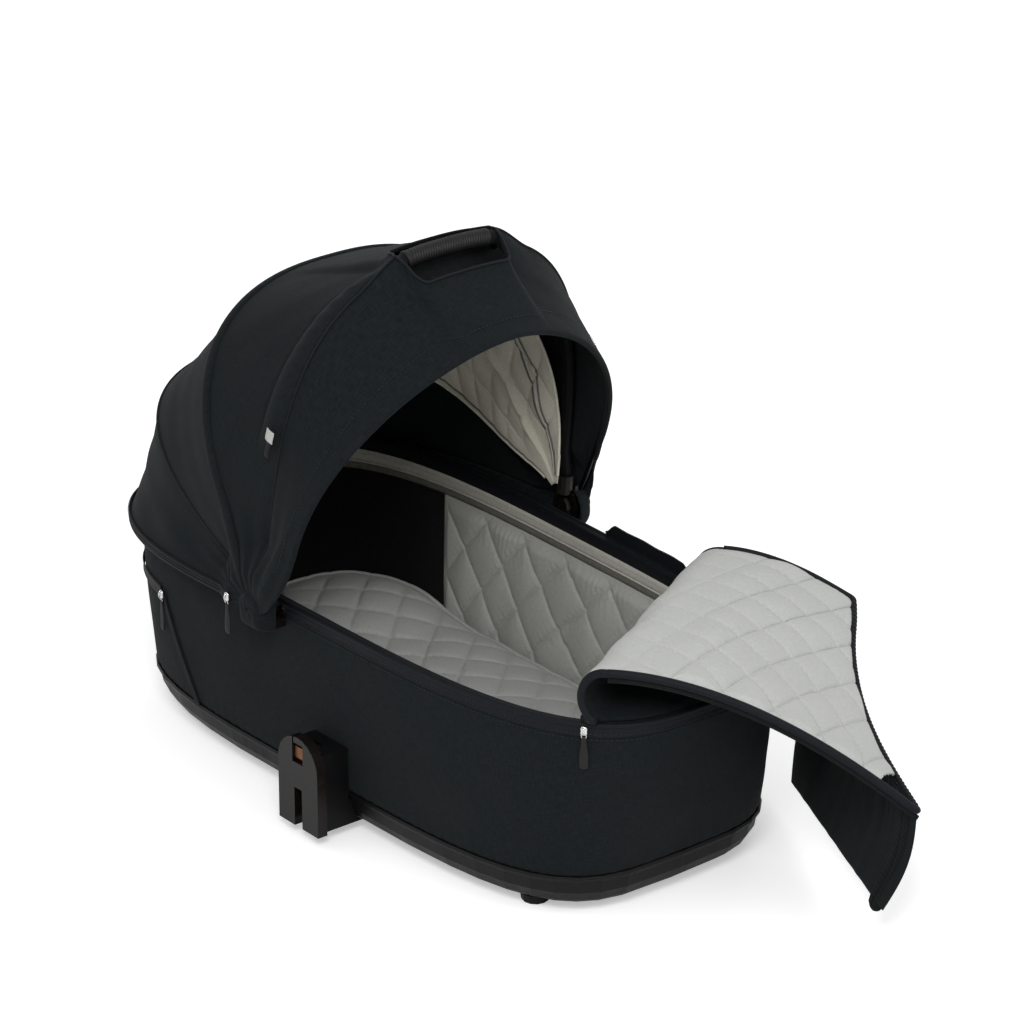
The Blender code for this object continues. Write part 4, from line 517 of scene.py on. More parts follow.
def sheet(piece):
    """Reads a piece's vertices and faces; nothing is done with them."""
    mesh = piece.data
    corners = np.empty(len(mesh.vertices) * 3)
    mesh.vertices.foreach_get("co", corners)
    faces = np.empty(len(mesh.polygons) * 4, dtype=int)
    mesh.polygons.foreach_get("vertices", faces)


# Tub


def tub(angle, height, inset=0.0, z=None):
    """Points of the tub's wall at outline angles and heights, inset inwards."""
    angle, height, inset = np.broadcast_arrays(np.asarray(angle, float), height, inset)
    rise = np.clip((height - LIP_Z) / (RIM_Z - LIP_Z), 0, 1)
    a, b, power, taper = (low + (high - low) * rise for low, high in zip(LIP, RIM))
    x = (a - inset) * powered(np.cos(angle), 2 / power)
    y = (b - inset) * powered(np.sin(angle), 2 / power) * (1 - taper * x / a)
    return np.stack([x + LIP_SHIFT * (1 - rise), y, height if z is None else np.broadcast_to(z, x.shape)], axis=-1)


def angle_at(x, side, height=RIM_Z):
    angles = np.linspace(0, pi, 4001)
    return side * float(np.interp(-x, -tub(angles, height)[:, 0], angles))


def run(start, end, count, height=RIM_Z):
    """Outline angles from start to end, an equal distance apart, and the whole distance."""
    fine = np.linspace(start, end, 6001)
    travel = lengths(tub(fine, height))
    return np.interp(np.linspace(0, travel[-1], count), travel, fine), travel[-1]


def whole(count, height=RIM_Z):
    return run(0.0, 2 * pi, count + 1, height)[0][:-1]


def wall_ring(name, profile, look, count=420):
    """Closed profile of (height, inset) pairs drawn round the outline."""
    profile = np.array(profile)
    grid = tub(whole(count)[:, None], profile[None, :, 0], profile[None, :, 1])
    return surface(name, grid, look, around=True, tube=True)


def outer_cover():
    """Black wall, gathered at its foot and under the binding."""
    heights = np.linspace(LIP_Z + 0.0006, RIM_Z - BINDING + 0.001, 44)[None, :]
    angles = whole(520)
    rise = (heights - heights[0, 0]) / (heights[0, -1] - heights[0, 0])
    s = lengths(tub(angles, RIM_Z))[:, None]
    bulge = COVER_BULGE * np.sin(pi * rise)
    slack = 0.00055 * ripples(s, heights, 3, 10, 0.05, 0.22) * np.sin(pi * rise) ** 0.5
    gather = 0.00035 * waves(s, 0.017, 2 * np.sin(s * 23)) * np.exp(-rise / 0.07)
    gather = gather + 0.00025 * waves(s, 0.021, 2 * np.sin(s * 17)) * np.exp(-(1 - rise) / 0.06)
    tuck = 0.0012 * bell(rise, 0, 0.02)
    grid = tub(angles[:, None], heights, -(bulge + slack + gather) + tuck)
    fit(surface("outer_cover", grid, "canvas", around=True, thickness=CLOTH), "cot", "body_cover")
    fit(stitches("cover_stitches", tub(whole(700), RIM_Z - BINDING - 0.0035, -0.0009), closed=True), "cot")


def rim_tape():
    """Folded binding: a corded top edge, a flat band and a turned lower edge."""
    profile = [(-0.0152, 0.0012), (-0.0152, -0.0004), (-0.0143, -0.0013), (-0.0132, -0.0010), (-0.0122, -0.0003),
               (-0.0090, -0.0005), (-0.0062, -0.0005), (-0.0048, 0.0001), (-0.0040, -0.0007), (-0.0026, -0.0011),
               (-0.0010, -0.0006), (0.0000, 0.0008), (0.0002, 0.0024), (-0.0006, 0.0040), (-0.0014, 0.0052),
               (-0.0012, 0.0085), (-0.0016, 0.0108), (-0.0030, 0.0122), (-0.0060, 0.0126), (-0.0140, 0.0125),
               (-0.0152, 0.0119), (-0.0152, 0.0112), (-0.0040, 0.0112), (-0.0030, 0.0030), (-0.0050, 0.0014)]
    made = wall_ring("rim_tape", [(RIM_Z + z, inset) for z, inset in profile], "tape", 560)
    fit(made, "cot", "rim_binding")
    for name, drop, inset in (("rim_stitches_low", 0.0117, -0.0006), ("rim_stitches_top", 0.0013, 0.0066)):
        fit(stitches(name, tub(whole(700), RIM_Z - drop, inset), closed=True), "cot")


def liner_inset(z):
    return LINER_INSET + LINER_LEAN * (1 - (z - LINER_LOW) / (TRIM_LOW - LINER_LOW))


def liner_quilt():
    """Quilted lining from the head panel round the foot end."""
    angles, length = run(angle_at(LINER_START_X, -1), angle_at(LINER_START_X, 1), 820)
    s = np.linspace(0, length, 820)[:, None]
    z = np.linspace(LINER_LOW, TRIM_LOW - 0.0004, 100)[None, :]
    edge = np.minimum(smooth((z - LINER_LOW) / 0.02), smooth((TRIM_LOW - z) / 0.014))
    edge = edge * np.minimum(smooth(s / 0.012), smooth((length - s) / 0.012))
    swell = quilt(s, z - 0.02, WALL_DIAMOND) * LINER_SWELL * edge
    creases = waves(s, 0.0105, 4 * np.sin(s * 31) + 2 * np.sin(s * 83 + z * 60)) * (0.6 + 0.4 * np.sin(s * 37))
    swell = swell + 0.0008 * np.exp(-(TRIM_LOW - z) / 0.020) * creases * edge
    drape = 0.0011 * ripples(s, z * 0.35, 11, 9, 0.045, 0.16) * edge
    grid = tub(angles[:, None], z, liner_inset(z) + 0.0035 + swell + drape + 0.0016 * edge)
    made = surface("liner_quilt", grid, "liner", thickness=LINER_CLOTH, inward=-1.0)
    fit(made, "cot", "liner")


def head_panel():
    """Net that lines the head end, slack between its seams."""
    start, end = angle_at(LINER_START_X, 1) + 0.003, 2 * pi + angle_at(LINER_START_X, -1) - 0.003
    angles, length = run(start, end, 240)
    s = np.linspace(0, length, 240)[:, None]
    z = np.linspace(LINER_LOW, TRIM_LOW - 0.0004, 40)[None, :]
    grid = tub(angles[:, None], z, liner_inset(z) + 0.0018 + 0.0006 * ripples(s, z, 5, 8, 0.04, 0.15))
    fit(surface("head_panel", grid, "net", thickness=THIN_CLOTH, inward=-1.0), "cot", "head_mesh")


def trim_band():
    """Two-tone tape along the top of the lining: a pale strip over a darker one, with a cord between."""
    inset, split = BINDING_WIDTH - 0.0028, TRIM_LOW + 0.010
    upper = [(split, 0.0004), (split, 0.0026), (split + 0.004, 0.0034),
             (TRIM_HIGH - 0.003, 0.0032), (TRIM_HIGH, 0.0024), (TRIM_HIGH, 0.0)]
    lower = [(TRIM_LOW, 0.0004), (TRIM_LOW, 0.0020), (TRIM_LOW + 0.002, 0.0026),
             (split - 0.001, 0.0024), (split - 0.0002, 0.0010), (split - 0.0002, 0.0)]
    for name, profile, look, node in (("trim_band", upper, "taupe", "liner_trim"),
                                      ("trim_band_low", lower, "taupe dark", None)):
        fit(wall_ring(name, [(z, inset + more) for z, more in profile], look), "cot", node)
    cord = tube("trim_cord", tub(whole(420), split, inset + 0.0030), 0.0011, "taupe", 8, closed=True)
    fit(cord, "cot")
    line = tub(whole(600), TRIM_HIGH - 0.0045, inset + 0.0036)
    fit(stitches("trim_stitches", line, "grey thread", closed=True), "cot")


def mattress_pad():
    """Quilted mattress: crowned top sewn in diamonds, drawn-in sides with a corded edge, and a raised head end."""
    outline = tub(whole(620, LIP_Z), LIP_Z, MATTRESS_MARGIN + 0.004)[:, :2]
    centre = np.array([LIP_SHIFT, 0.0])
    share = np.linspace(1.0, 0.0, 96) ** 0.85
    flat = centre + (outline - centre)[:, None, :] * share[None, :, None]
    x, y = flat[..., 0], flat[..., 1]
    edge = smooth((1 - share) / 0.10)[None, :]
    swell = quilt(x - LIP_SHIFT, y, DIAMOND) * MATTRESS_SWELL * (0.25 + 0.75 * edge)
    pillow = PILLOW * smooth((PILLOW_X - x) / PILLOW_RUN)
    crown = MATTRESS_CROWN * (1 - share[None, :] ** 2) + pillow + 0.0009 * ripples(x, y, 21, 8, 0.08, 0.25)
    top = MATTRESS_LOW + MATTRESS_HEIGHT - 0.008 * share[None, :] ** 6 + crown + swell
    sides = []
    for rise in np.linspace(0.0, 1.0, 14)[:-1]:
        drawn = 0.0045 * sin(pi * rise) + 0.0022 * waves(lengths(outline), 0.031) * sin(pi * rise)
        ring = centre + (outline - centre) * (1 - drawn[:, None] / 0.2)
        z = MATTRESS_LOW + (top[:, 0] - MATTRESS_LOW) * rise
        sides.append(np.concatenate([ring, z[:, None]], axis=1))
    lid = np.concatenate([flat, top[..., None]], axis=-1)
    made = surface("mattress_pad", np.concatenate([np.stack(sides, axis=1), lid], axis=1), "mattress", around=True)
    fit(made, "cot", "mattress")
    line = np.concatenate([centre + (outline - centre) * 1.004, top[:, :1] + 0.0002], axis=1)
    fit(tube("mattress_cord", line, MATTRESS_CORD, "mattress", 8, closed=True), "cot")


# Zips on the tub


def rim_zip():
    """Half of the apron's zip, standing on the far rim, with its teeth."""
    angles, length = run(angle_at(ZIP_TAPE[1], 1), angle_at(ZIP_TAPE[0], 1), 90)
    s = np.linspace(0, length, 90)[:, None]
    z = np.linspace(-0.0010, 0.0146, 8)[None, :] * (0.25 + 0.75 * smooth(s / 0.016) * smooth((length - s) / 0.016))
    lean = 0.0027 + 0.0006 * waves(s, 0.05) * z / 0.0144
    grid = tub(angles[:, None], RIM_Z, lean, RIM_Z + z)
    made = surface("far_zip_tape", grid, "tape", thickness=THIN_CLOTH, inward=-1.0)
    fit(made, "cot", "rim_zip_tape")
    teeth("far_zip_teeth", grid[:, -1], (0, 0, 1), (0, 1, 0))


def cover_lift(height):
    rise = np.clip((height - LIP_Z - 0.0004) / (RIM_Z - BINDING - LIP_Z - 0.0008), 0, 1)
    return COVER_BULGE * np.sin(pi * rise) + 0.0006


def near_wall(x, height, lift):
    angle = np.array([angle_at(a, -1, b) for a, b in zip(np.ravel(x), np.ravel(height))]).reshape(np.shape(x))
    return tub(angle, height, -lift)


def vent_zip():
    """Slanting zip of the vent at the head end, with its net window."""
    share = np.linspace(0, 1, 40)[:, None]
    across = np.linspace(-1, 1, 9)[None, :]
    x = VENT_TOP[0] + (VENT_FOOT[0] - VENT_TOP[0]) * share + 0.005 * across
    height = VENT_TOP[1] + (VENT_FOOT[1] - VENT_TOP[1]) * share + 0 * across
    lift = cover_lift(height) + 0.0012 + 0.0006 * (np.abs(np.abs(across) - 0.55) < 0.2)
    made = surface("vent_tape_cloth", near_wall(x, height, lift), "tape", thickness=0.0011, inward=-1.0)
    fit(made, "cot", "vent_tape")
    middle = near_wall(x[:, 4], height[:, 4], cover_lift(height[:, 4]) + 0.0016)
    teeth("vent_teeth", middle, (0.82, 0, 0.57), (0, -1, 0))
    start, end = angle_at(VENT_TOP[0] - 0.010, 1), 2 * pi + angle_at(VENT_TOP[0] - 0.010, -1)
    angles, _ = run(start, end, 220, VENT_TOP[1])
    z = np.linspace(VENT_TOP[1] - 0.006, VENT_TOP[1] + 0.006, 9)[None, :]
    rim = 0.0005 * (np.abs(np.abs(z - VENT_TOP[1]) - 0.0045) < 0.001)
    grid = tub(angles[:, None], z, -cover_lift(z) - 0.0009 - rim)
    fit(surface("vent_net", grid, "net", thickness=0.0008, inward=-1.0), "cot", "vent_mesh")


# Hood


def arch(bow):
    """Radius from the hub axis and y along a hoop, near side first."""
    _, half, reach, power, shoulder = bow
    t = np.linspace(0, pi / 2, 200)
    legs = [(FABRIC_START, SIDE_Y), (NECK, SIDE_Y), ((NECK + shoulder) / 2, (SIDE_Y + half - SKIN / 2) / 2)]
    curve = np.stack([shoulder + (reach - SKIN / 2 - shoulder) * np.sin(t) ** (2 / power),
                      (half - SKIN / 2) * np.cos(t) ** (2 / power)], axis=1)
    far = np.concatenate([np.array(legs), curve])
    return np.concatenate([far * (1, -1), far[::-1][1:]])


SPAN = 301
HOOPS = {"hem": HEM, "rear": REAR, "mid": MID, "handle": HANDLE, "visor": VISOR}
BODIES = {"hem": "cot", "rear": "rear_hoop", "mid": "mid_hoop", "handle": "handle", "visor": "visor"}
BOWS = {name: resample(arch(bow), SPAN) for name, bow in HOOPS.items()}
TURNS = {name: bow[0] for name, bow in HOOPS.items()}
ALONG = np.linspace(0, 1, SPAN) * lengths(BOWS["handle"])[-1]
OFF_MIDDLE = np.abs(ALONG - ALONG[-1] / 2)
HANDLE_OUT = np.array([cos(radians(HANDLE[0])), 0.0, sin(radians(HANDLE[0]))])


def placed(line, turn):
    """Points of a hoop's line at an angle about the hub; turn may differ from point to point."""
    turn = np.radians(np.broadcast_to(turn, line.shape[:1]))
    return np.stack([HUB[0] + line[:, 0] * np.cos(turn), line[:, 1], HUB[2] + line[:, 0] * np.sin(turn)], axis=1)


def follow(piece, first, second):
    """Bakes the placement of a piece of the hood into its mesh."""
    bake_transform(piece)


def cutout(edge):
    """How far each edge of the cut-out draws back from the handle, in degrees, with rounded ends."""
    share = np.clip((CUTOUT_OUTER - OFF_MIDDLE) / (CUTOUT_OUTER - CUTOUT_INNER), 0, 1)
    return edge * np.sqrt(1 - (1 - share) ** 2)


BACK_TURN, FRONT_TURN = TURNS["handle"] + cutout(CUTOUT_BACK), TURNS["handle"] - cutout(CUTOUT_FRONT)


def panel(first, second, sag, count, first_turn=None, second_turn=None):
    """Cloth between two hoops: straight chords that sag a little inwards, closing to pleats at the hub."""
    p = placed(BOWS[first], TURNS[first] if first_turn is None else first_turn)
    q = placed(BOWS[second], TURNS[second] if second_turn is None else second_turn)
    share = np.linspace(0, 1, count)[None, :, None]
    grid = p[:, None] * (1 - share) + q[:, None] * share
    middle = grid.mean(axis=1) - HUB
    middle[:, 1] = 0
    reach = np.linalg.norm(middle, axis=1)
    inwards = -middle / np.maximum(reach, 1e-6)[:, None]
    depth = sag * smooth((reach - 0.03) / 0.12)
    return grid + inwards[:, None] * (4 * depth[:, None, None] * share * (1 - share)), share[..., 0]


def rise_to_grip(grid):
    """Lifts the cloth beside the handle to meet the ends of its raised grip."""
    away = np.linalg.norm(grid - placed(BOWS["handle"], TURNS["handle"])[:, None], axis=-1)
    lift = 0.97 * GRIP_RISE * smooth((0.116 - OFF_MIDDLE[:, None]) / 0.058) * bell(away, 0, 0.024)
    return grid + HANDLE_OUT * lift[..., None]


def out_of_hub(grid):
    normal = normals_of(grid)
    return normal * np.sign(np.sum(normal * (grid - HUB), axis=-1, keepdims=True).mean())


def cloth(grid, share, pleats, wave, seed, swell=0.0):
    """Adds folds to a hood panel: pleats that run out of the hub, soft waves, and any swell given."""
    normal = out_of_hub(grid)
    radius = np.linalg.norm((grid - HUB)[..., (0, 2)], axis=-1)
    held = np.sin(pi * np.broadcast_to(share, radius.shape)) ** 0.5
    near_hub = bell(radius, HUB_FOLDS, HUB_FOLD_RUN) * smooth((radius - 0.016) / 0.02)
    folds = (1.0 + np.sin(2 * pi * share * pleats + 0.6 * np.sin(radius * 55))) * near_hub * PLEAT_RISE
    s = np.broadcast_to(ALONG[:, None], radius.shape)
    across = np.linalg.norm(grid - grid[:, :1], axis=-1)
    slack = ripples(s * 0.6, across, seed, 9, 0.035, 0.14) * wave * smooth((radius - 0.04) / 0.08)
    return grid + normal * ((folds + slack) * held + swell)[..., None], normal


def dress(name, grid, hoops, node, thickness=CLOTH, inward=1.0):
    """One panel of the hood's cloth, stretched over its hoops."""
    made = surface(name, grid, "canvas", thickness=thickness, inward=inward)
    sheet(fit(made, hoops, node))


def casing(name, bow, width, lift, rows):
    """Casing that wraps a hoop: a strip a little proud of the cloth."""
    line = BOWS[bow]
    room = smooth((line[:, 0] - 0.02) / 0.05)
    across = np.linspace(-1, 1, rows)
    grid = np.stack([placed(line, TURNS[bow] + np.degrees(a * width / 2 * room / np.maximum(line[:, 0], 0.02)))
                     for a in across], axis=1)
    crown = (1 - across ** 2) ** 0.5 * (lift + 0.0030) - 0.0024
    grid = grid + out_of_hub(grid) * crown[None, :, None] * np.maximum(room, 0.3)[:, None, None]
    fit(surface(name, grid, "canvas", thickness=THIN_CLOTH, inward=-1.0), BODIES[bow])
    return grid


def hood():
    """Outer cloth of the hood, its casings and piping, and the pocket under the grip."""
    for name, hoops, sag, pleats, wave, seed, width in (
            ("rear", ("rear", "hem"), REAR_SAG, 3.0, 0.0017, 31, REAR_WIDTH),
            ("back", ("mid", "rear"), BACK_SAG, 2.0, 0.0014, 32, BACK_WIDTH)):
        grid, share = panel(*hoops, sag, 46)
        dress(f"hood_{name}", cloth(grid, share, pleats, wave, seed)[0], hoops, f"canopy_{name}")

    # Crown, with the cut-out's edge and the padded sleeve behind the seam
    grid, share = panel("handle", "mid", CROWN_SAG, 60, first_turn=BACK_TURN)
    travel = share * np.linalg.norm(grid[:, -1] - grid[:, 0], axis=-1)[:, None]
    free = smooth((OFF_MIDDLE[:, None] - 0.075) / 0.03) * smooth((0.31 - OFF_MIDDLE[:, None]) / 0.05)
    over = np.sin(pi * np.clip(travel / SLEEVE_WIDTH, 0, 1))
    sleeve = SLEEVE_RISE * over ** 0.7 - SLEEVE_CREASE * bell(travel, SLEEVE_WIDTH + 0.001, 0.0022)
    gathers = 0.0006 * waves(ALONG[:, None], 0.019) * over
    grid, _ = cloth(rise_to_grip(grid), share, 2.0, 0.0010, 33, swell=(sleeve + gathers) * free)
    dress("hood_crown", grid, ("handle", "mid"), "canopy_crown")

    # Visor, in front of the handle, with a rolled front edge over its thin hoop
    radius, y = BOWS["visor"][:, 0], BOWS["visor"][:, 1:]
    near = y[:, 0] < 0
    tail = np.exp(-(radius - np.where(near, 0.020, 0.012)) / np.where(near, 0.045, 0.012))
    tail = TURNS["visor"] - VISOR_TAIL * tail
    grid, share = panel("handle", "visor", VISOR_SAG, 40, first_turn=FRONT_TURN, second_turn=tail)
    hoop_share = (TURNS["handle"] - TURNS["visor"]) / (TURNS["handle"] - tail)
    widening = np.minimum(1, share / hoop_share[:, None])
    outer = y + np.sign(y) * 0.0010 * (1 - smooth((radius - 0.10) / 0.04))[:, None]
    grid[..., 1] = BOWS["handle"][:, 1:] * (1 - widening) + outer * widening
    grid, normal = cloth(rise_to_grip(grid), share, 2.0, 0.0008, 34)
    ahead = unit(grid[:, -1] - grid[:, -2])
    room = smooth((radius - 0.03) / 0.05)[:, None]
    roll = [grid[:, -1] + (ahead * sin(turn) - normal[:, -1] * (1 - cos(turn))) * VISOR_ROLL * room
            for turn in 2 * pi * np.arange(1, 13) / 13 * 0.80]
    whole_grid = np.concatenate([grid, np.stack(roll, axis=1)], axis=1)
    dress("hood_visor", whole_grid, ("visor", "handle"), "canopy_visor", THIN_CLOTH, -1.0)
    fit(stitches("visor_stitches", grid[20:-20, 30] + normal[20:-20, 30] * 0.0008), ("visor", "handle"))

    # Casings over the hoops, and piping on both edges of the cut-out
    mid_grid = casing("mid_casing", "mid", 0.0150, 0.0012, 13)
    for name, column in (("mid_stitches_front", 2), ("mid_stitches_back", -3)):
        fit(stitches(name, mid_grid[14:-14, column]), "mid_hoop")
    casing("rear_casing", "rear", 0.0060, 0.0004, 9)
    keep = OFF_MIDDLE <= CUTOUT_OUTER + 0.004
    for name, turn, start, size in (("handle_piping_back", BACK_TURN, 12, 0.0013),
                                    ("handle_piping_front", FRONT_TURN, int(np.argmax(keep)), 0.0016)):
        line = rise_to_grip(placed(BOWS["handle"] + (0.0010, 0.0), turn)[:, None])[:, 0]
        fit(tube(name, line[start:SPAN - start], size, "tape", 8), "handle")

    # Black pocket under the grip, sewn to both edges of the cut-out
    share = np.linspace(0, 1, 30)[None, :, None]
    lowered = BOWS["handle"] - (POCKET_DROP, 0.0)
    first, last = (placed(lowered, turn)[:, None][keep] for turn in (BACK_TURN + 0.4, FRONT_TURN - 0.4))
    depth = POCKET_DEPTH * smooth((CUTOUT_OUTER + 0.004 - OFF_MIDDLE[keep]) / 0.012)[:, None]
    dip = depth * np.sin(pi * share[..., 0]) ** 0.8 + 0.0006 * np.sin(ALONG[keep][:, None] / 0.0028)
    pocket = first * (1 - share) + last * share - HANDLE_OUT * dip[..., None]
    fit(surface("grip_pocket", pocket, "pad", thickness=THIN_CLOTH, inward=0.0), "handle")


def hem_band():
    """Band above the hem's zip: an upper strip, a zip line with teeth and a lower edge, tapering to the hub."""
    line = BOWS["hem"]
    profile = [(-0.0058, 0.0000), (-0.0055, 0.0016), (-0.0040, 0.0020), (-0.0024, 0.0018), (-0.0018, 0.0007),
               (-0.0006, 0.0005), (0.0006, 0.0005), (0.0014, 0.0008), (0.0020, 0.0020), (0.0038, 0.0022),
               (0.0052, 0.0018), (0.0056, 0.0004)]
    taper = (HEM_TAPER + (1 - HEM_TAPER) * smooth((line[:, 0] - 0.015) / 0.03))[:, None]
    base = placed(line, TURNS["hem"])
    slope = np.gradient(base, axis=0)
    out = unit(np.stack([-slope[:, 1], slope[:, 0], 0 * slope[:, 0]], axis=1))
    out = out * np.sign(np.sum(out * (base - HUB), axis=1, keepdims=True))
    grid = np.stack([base + out * (proud * taper) + UP * (z * taper) for z, proud in profile], axis=1)
    made = surface("hem_band", grid, "tape", thickness=CLOTH)
    fit(made, "cot", "canopy_hem")
    inside_out = np.sum(np.cross(grid[50, 1] - grid[49, 1], grid[50, 2] - grid[50, 1]) * out[50]) < 0
    made.modifiers["thickness"].offset = 1.0 if inside_out else -1.0
    gusset(base, out, taper)
    base, out = base[10:-10], out[10:-10]
    teeth("hem_teeth", base + out * 0.0012, (0, 0, 1), (0, 1, 0), pitch=0.0026)
    fit(stitches("hem_stitches", grid[10:-10, 9] + out * 0.0004), "cot")


def gusset(base, out, taper):
    """Black cloth that closes the hood's hem down to the tub's rim, slack between the two."""
    rim = tub(np.linspace(0, 2 * pi, 1441), RIM_Z, -0.0010)
    bearing = np.arctan2(rim[:, 1], rim[:, 0] - HUB[0]) % (2 * pi)
    order = np.argsort(bearing)
    keep = base[:, 0] < HUB[0] - 0.004
    goals = np.arctan2(base[keep, 1], base[keep, 0] - HUB[0]) % (2 * pi)
    near = [np.interp(goals, bearing[order], rim[order, k], period=2 * pi) for k in (0, 1)]
    foot = np.stack([*near, np.full(len(goals), RIM_Z - 0.0085)], axis=1)
    top = base[keep] - out[keep] * 0.0006 - UP * (0.0030 * taper[keep])
    share = np.linspace(0, 1, 16)[None, :, None]
    slack = np.sin(pi * share[..., 0])
    s = lengths(top)[:, None]
    grid = top[:, None] * (1 - share) + foot[:, None] * share
    fold = 0.0007 * waves(s, 0.016, 2 * np.sin(s * 31)) * slack
    grid[..., 2] += 0.0035 * slack * (1 - share[..., 0]) + fold
    fit(surface("hem_gusset", grid, "canvas", thickness=THIN_CLOTH, inward=0.0), "cot")


def hub_covers():
    """Cloth pockets over the outer sides of the hubs, with pleats that run out of them."""
    u = circle(96)[:, None]
    v = np.linspace(0.02, 1.0, 26)[None, :]
    below = np.sin(u) < 0
    tall, power = np.where(below, HUB_COVER_LOW, HUB_COVER_TOP), np.where(below, 4.0, 2.0)
    square = (np.abs(np.cos(u)) / HUB_COVER_HALF) ** power + (np.abs(np.sin(u)) / tall) ** power
    radius = square ** (-1 / power) * v ** 0.8
    pleat = 0.0006 * np.sin(u * 11 + 1.3 * np.sin(u * 3)) * v * (1.1 - v) * smooth(np.sin(u) + 0.5)
    y = HUB_COVER_Y - 0.0210 * v ** 5 + pleat + 0.0003 * np.sin(u * 5 + v * 9)
    for name, side in (("near", -1), ("far", 1)):
        grid = np.stack([HUB[0] + radius * np.cos(u), side * y, HUB[2] + 0.0012 + radius * np.sin(u)], axis=-1)
        made = surface(f"hub_cover_{name}", grid, "canvas", around=True, thickness=THIN_CLOTH, inward=0.0)
        fit(made, "cot")


def lining():
    """Grey lining inside the hood: a wedge with creases, piping on its edges, quilting and a zip."""
    line = resample(arch((0, LINING_HALF, LINING_REACH, HANDLE[3], HANDLE[4])), SPAN)
    line[:, 1] = np.clip(line[:, 1], -LINING_HALF, LINING_HALF)
    line = line[line[:, 0] > 0.034]
    out, y = line[:, :1], line[:, 1:]
    count = 91
    share = np.linspace(0, 1, count)[None, :]
    first = LINING_FRONT + LINING_SPLAY * (out - 0.047)
    last = LINING_BACK - LINING_NARROW * np.exp(-(out - 0.034) / 0.030)
    turn = np.radians(first + (last - first) * share)
    s = lengths(line)[:, None]
    off = np.abs(s - s[-1] / 2) / s[-1] * 2
    gather = np.sin(pi * share) ** 0.6
    across = share * radians(LINING_BACK - LINING_FRONT) * out
    swing = 0.03 * np.sin(s * 17)
    crease = 0.0095 * bell(share - swing, 0.50, 0.035) - 0.0070 * bell(share - swing, 0.58, 0.05)
    puff = quilt(s, across, LINING_DIAMOND) * LINING_SWELL * smooth(gather * 1.4) * smooth((out - 0.06) / 0.05)
    fold = 0.0026 * ripples(s, across, 41, 9, 0.05, 0.14) * gather
    inward = (puff + fold + crease * gather) * smooth((1.04 - off) / 0.25)
    slope = np.gradient(line, axis=0)
    normal = unit(np.stack([slope[:, 1], -slope[:, 0]], axis=1))
    normal = normal * np.sign(np.sum(normal * (line - (0.12, 0)), axis=1).mean())
    radius = out * (1 - (1 - LINING_EDGE) * share ** 1.5) - normal[:, :1] * inward - 0.001
    y = y - normal[:, 1:] * inward
    grid = np.stack([HUB[0] + radius * np.cos(turn), y, HUB[2] + radius * np.sin(turn)], axis=-1)
    seam = count // 2
    for name, cut, hoops, node in (("hood_lining", grid[:, :seam + 1], ("handle", "mid"), "canopy_lining"),
                                   ("hood_lining_behind", grid[:, seam:], ("mid", "rear"), None)):
        made = surface(name, cut, "hood lining", thickness=CLOTH, inward=0.0)
        sheet(fit(made, hoops, node))
    normals, inside = normals_of(grid), HUB + (0.02, 0, 0.1) - grid
    lift = normals * np.sign(np.sum(normals * inside, axis=-1, keepdims=True))
    for name, column, thick, look in (("lining_piping_front", 0, 0.0017, "hood lining"),
                                      ("lining_piping_back", count - 1, 0.0019, "hood lining"),
                                      ("lining_seam_back", count - 4, 0.0011, "taupe dark"),
                                      ("lining_zip_front", 15, 0.0012, "taupe dark"),
                                      ("lining_zip_middle", 18, 0.0016, "taupe"),
                                      ("lining_zip_back", 21, 0.0012, "taupe dark")):
        piece = tube(name, grid[4:-4, column] + lift[4:-4, column] * 0.0010, thick, look, 8)
        fit(piece, ("handle", "mid") if column < seam else ("mid", "rear"))


def label():
    """Blank woven label beside the handle's seam, standing on the padded sleeve, with a dark lower end."""
    low, high = (np.array(corner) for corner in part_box("side_tag"))
    centre = (low + high) / 2 + (0.003, -0.0085, 0.002)
    along = unit(np.array([0.10, 0.11, 0.99]))
    across = np.array([-0.97, 0.18, 0.07])
    across = unit(across - along * (across @ along))
    out = np.cross(along, across)
    out = out * np.sign(-out[1])
    for name, look, slot, node, bottom, top, width in (
            ("blank_label", "label", "label", "side_tag", 0.001, 0.0135, 0.0155),
            ("label_end", "tape", "black_tape", None, -0.0165, 0.001, 0.0095)):
        u, v = np.meshgrid(np.linspace(bottom, top, 22), np.linspace(-width / 2, width / 2, 14), indexing="ij")
        bow = 0.0008 * np.cos(v / width * pi) + 0.0003 * np.sin(u * 400)
        grid = centre + along * u[..., None] + across * v[..., None] + out * bow[..., None]
        fit(surface(name, grid, look, thickness=0.0008, inward=0.0), "handle", node)


def handle_line(count, low, high):
    """Middle of the handle's tube between two y values, raised where the grip stands clear of the cloth."""
    _, half, reach, power, shoulder = HANDLE
    half, reach = half - TUBE_DROP, reach - TUBE_DROP
    y = np.linspace(low, high, count)
    cosine = np.clip(np.abs(y) / half, 0, 1) ** (power / 2)
    radius = shoulder + (reach - shoulder) * np.sqrt(1 - cosine ** 2) ** (2 / power)
    share = smooth((0.091 - np.abs(y)) / 0.032)
    return placed(np.stack([radius + GRIP_RISE * share, y], axis=1), TURNS["handle"])


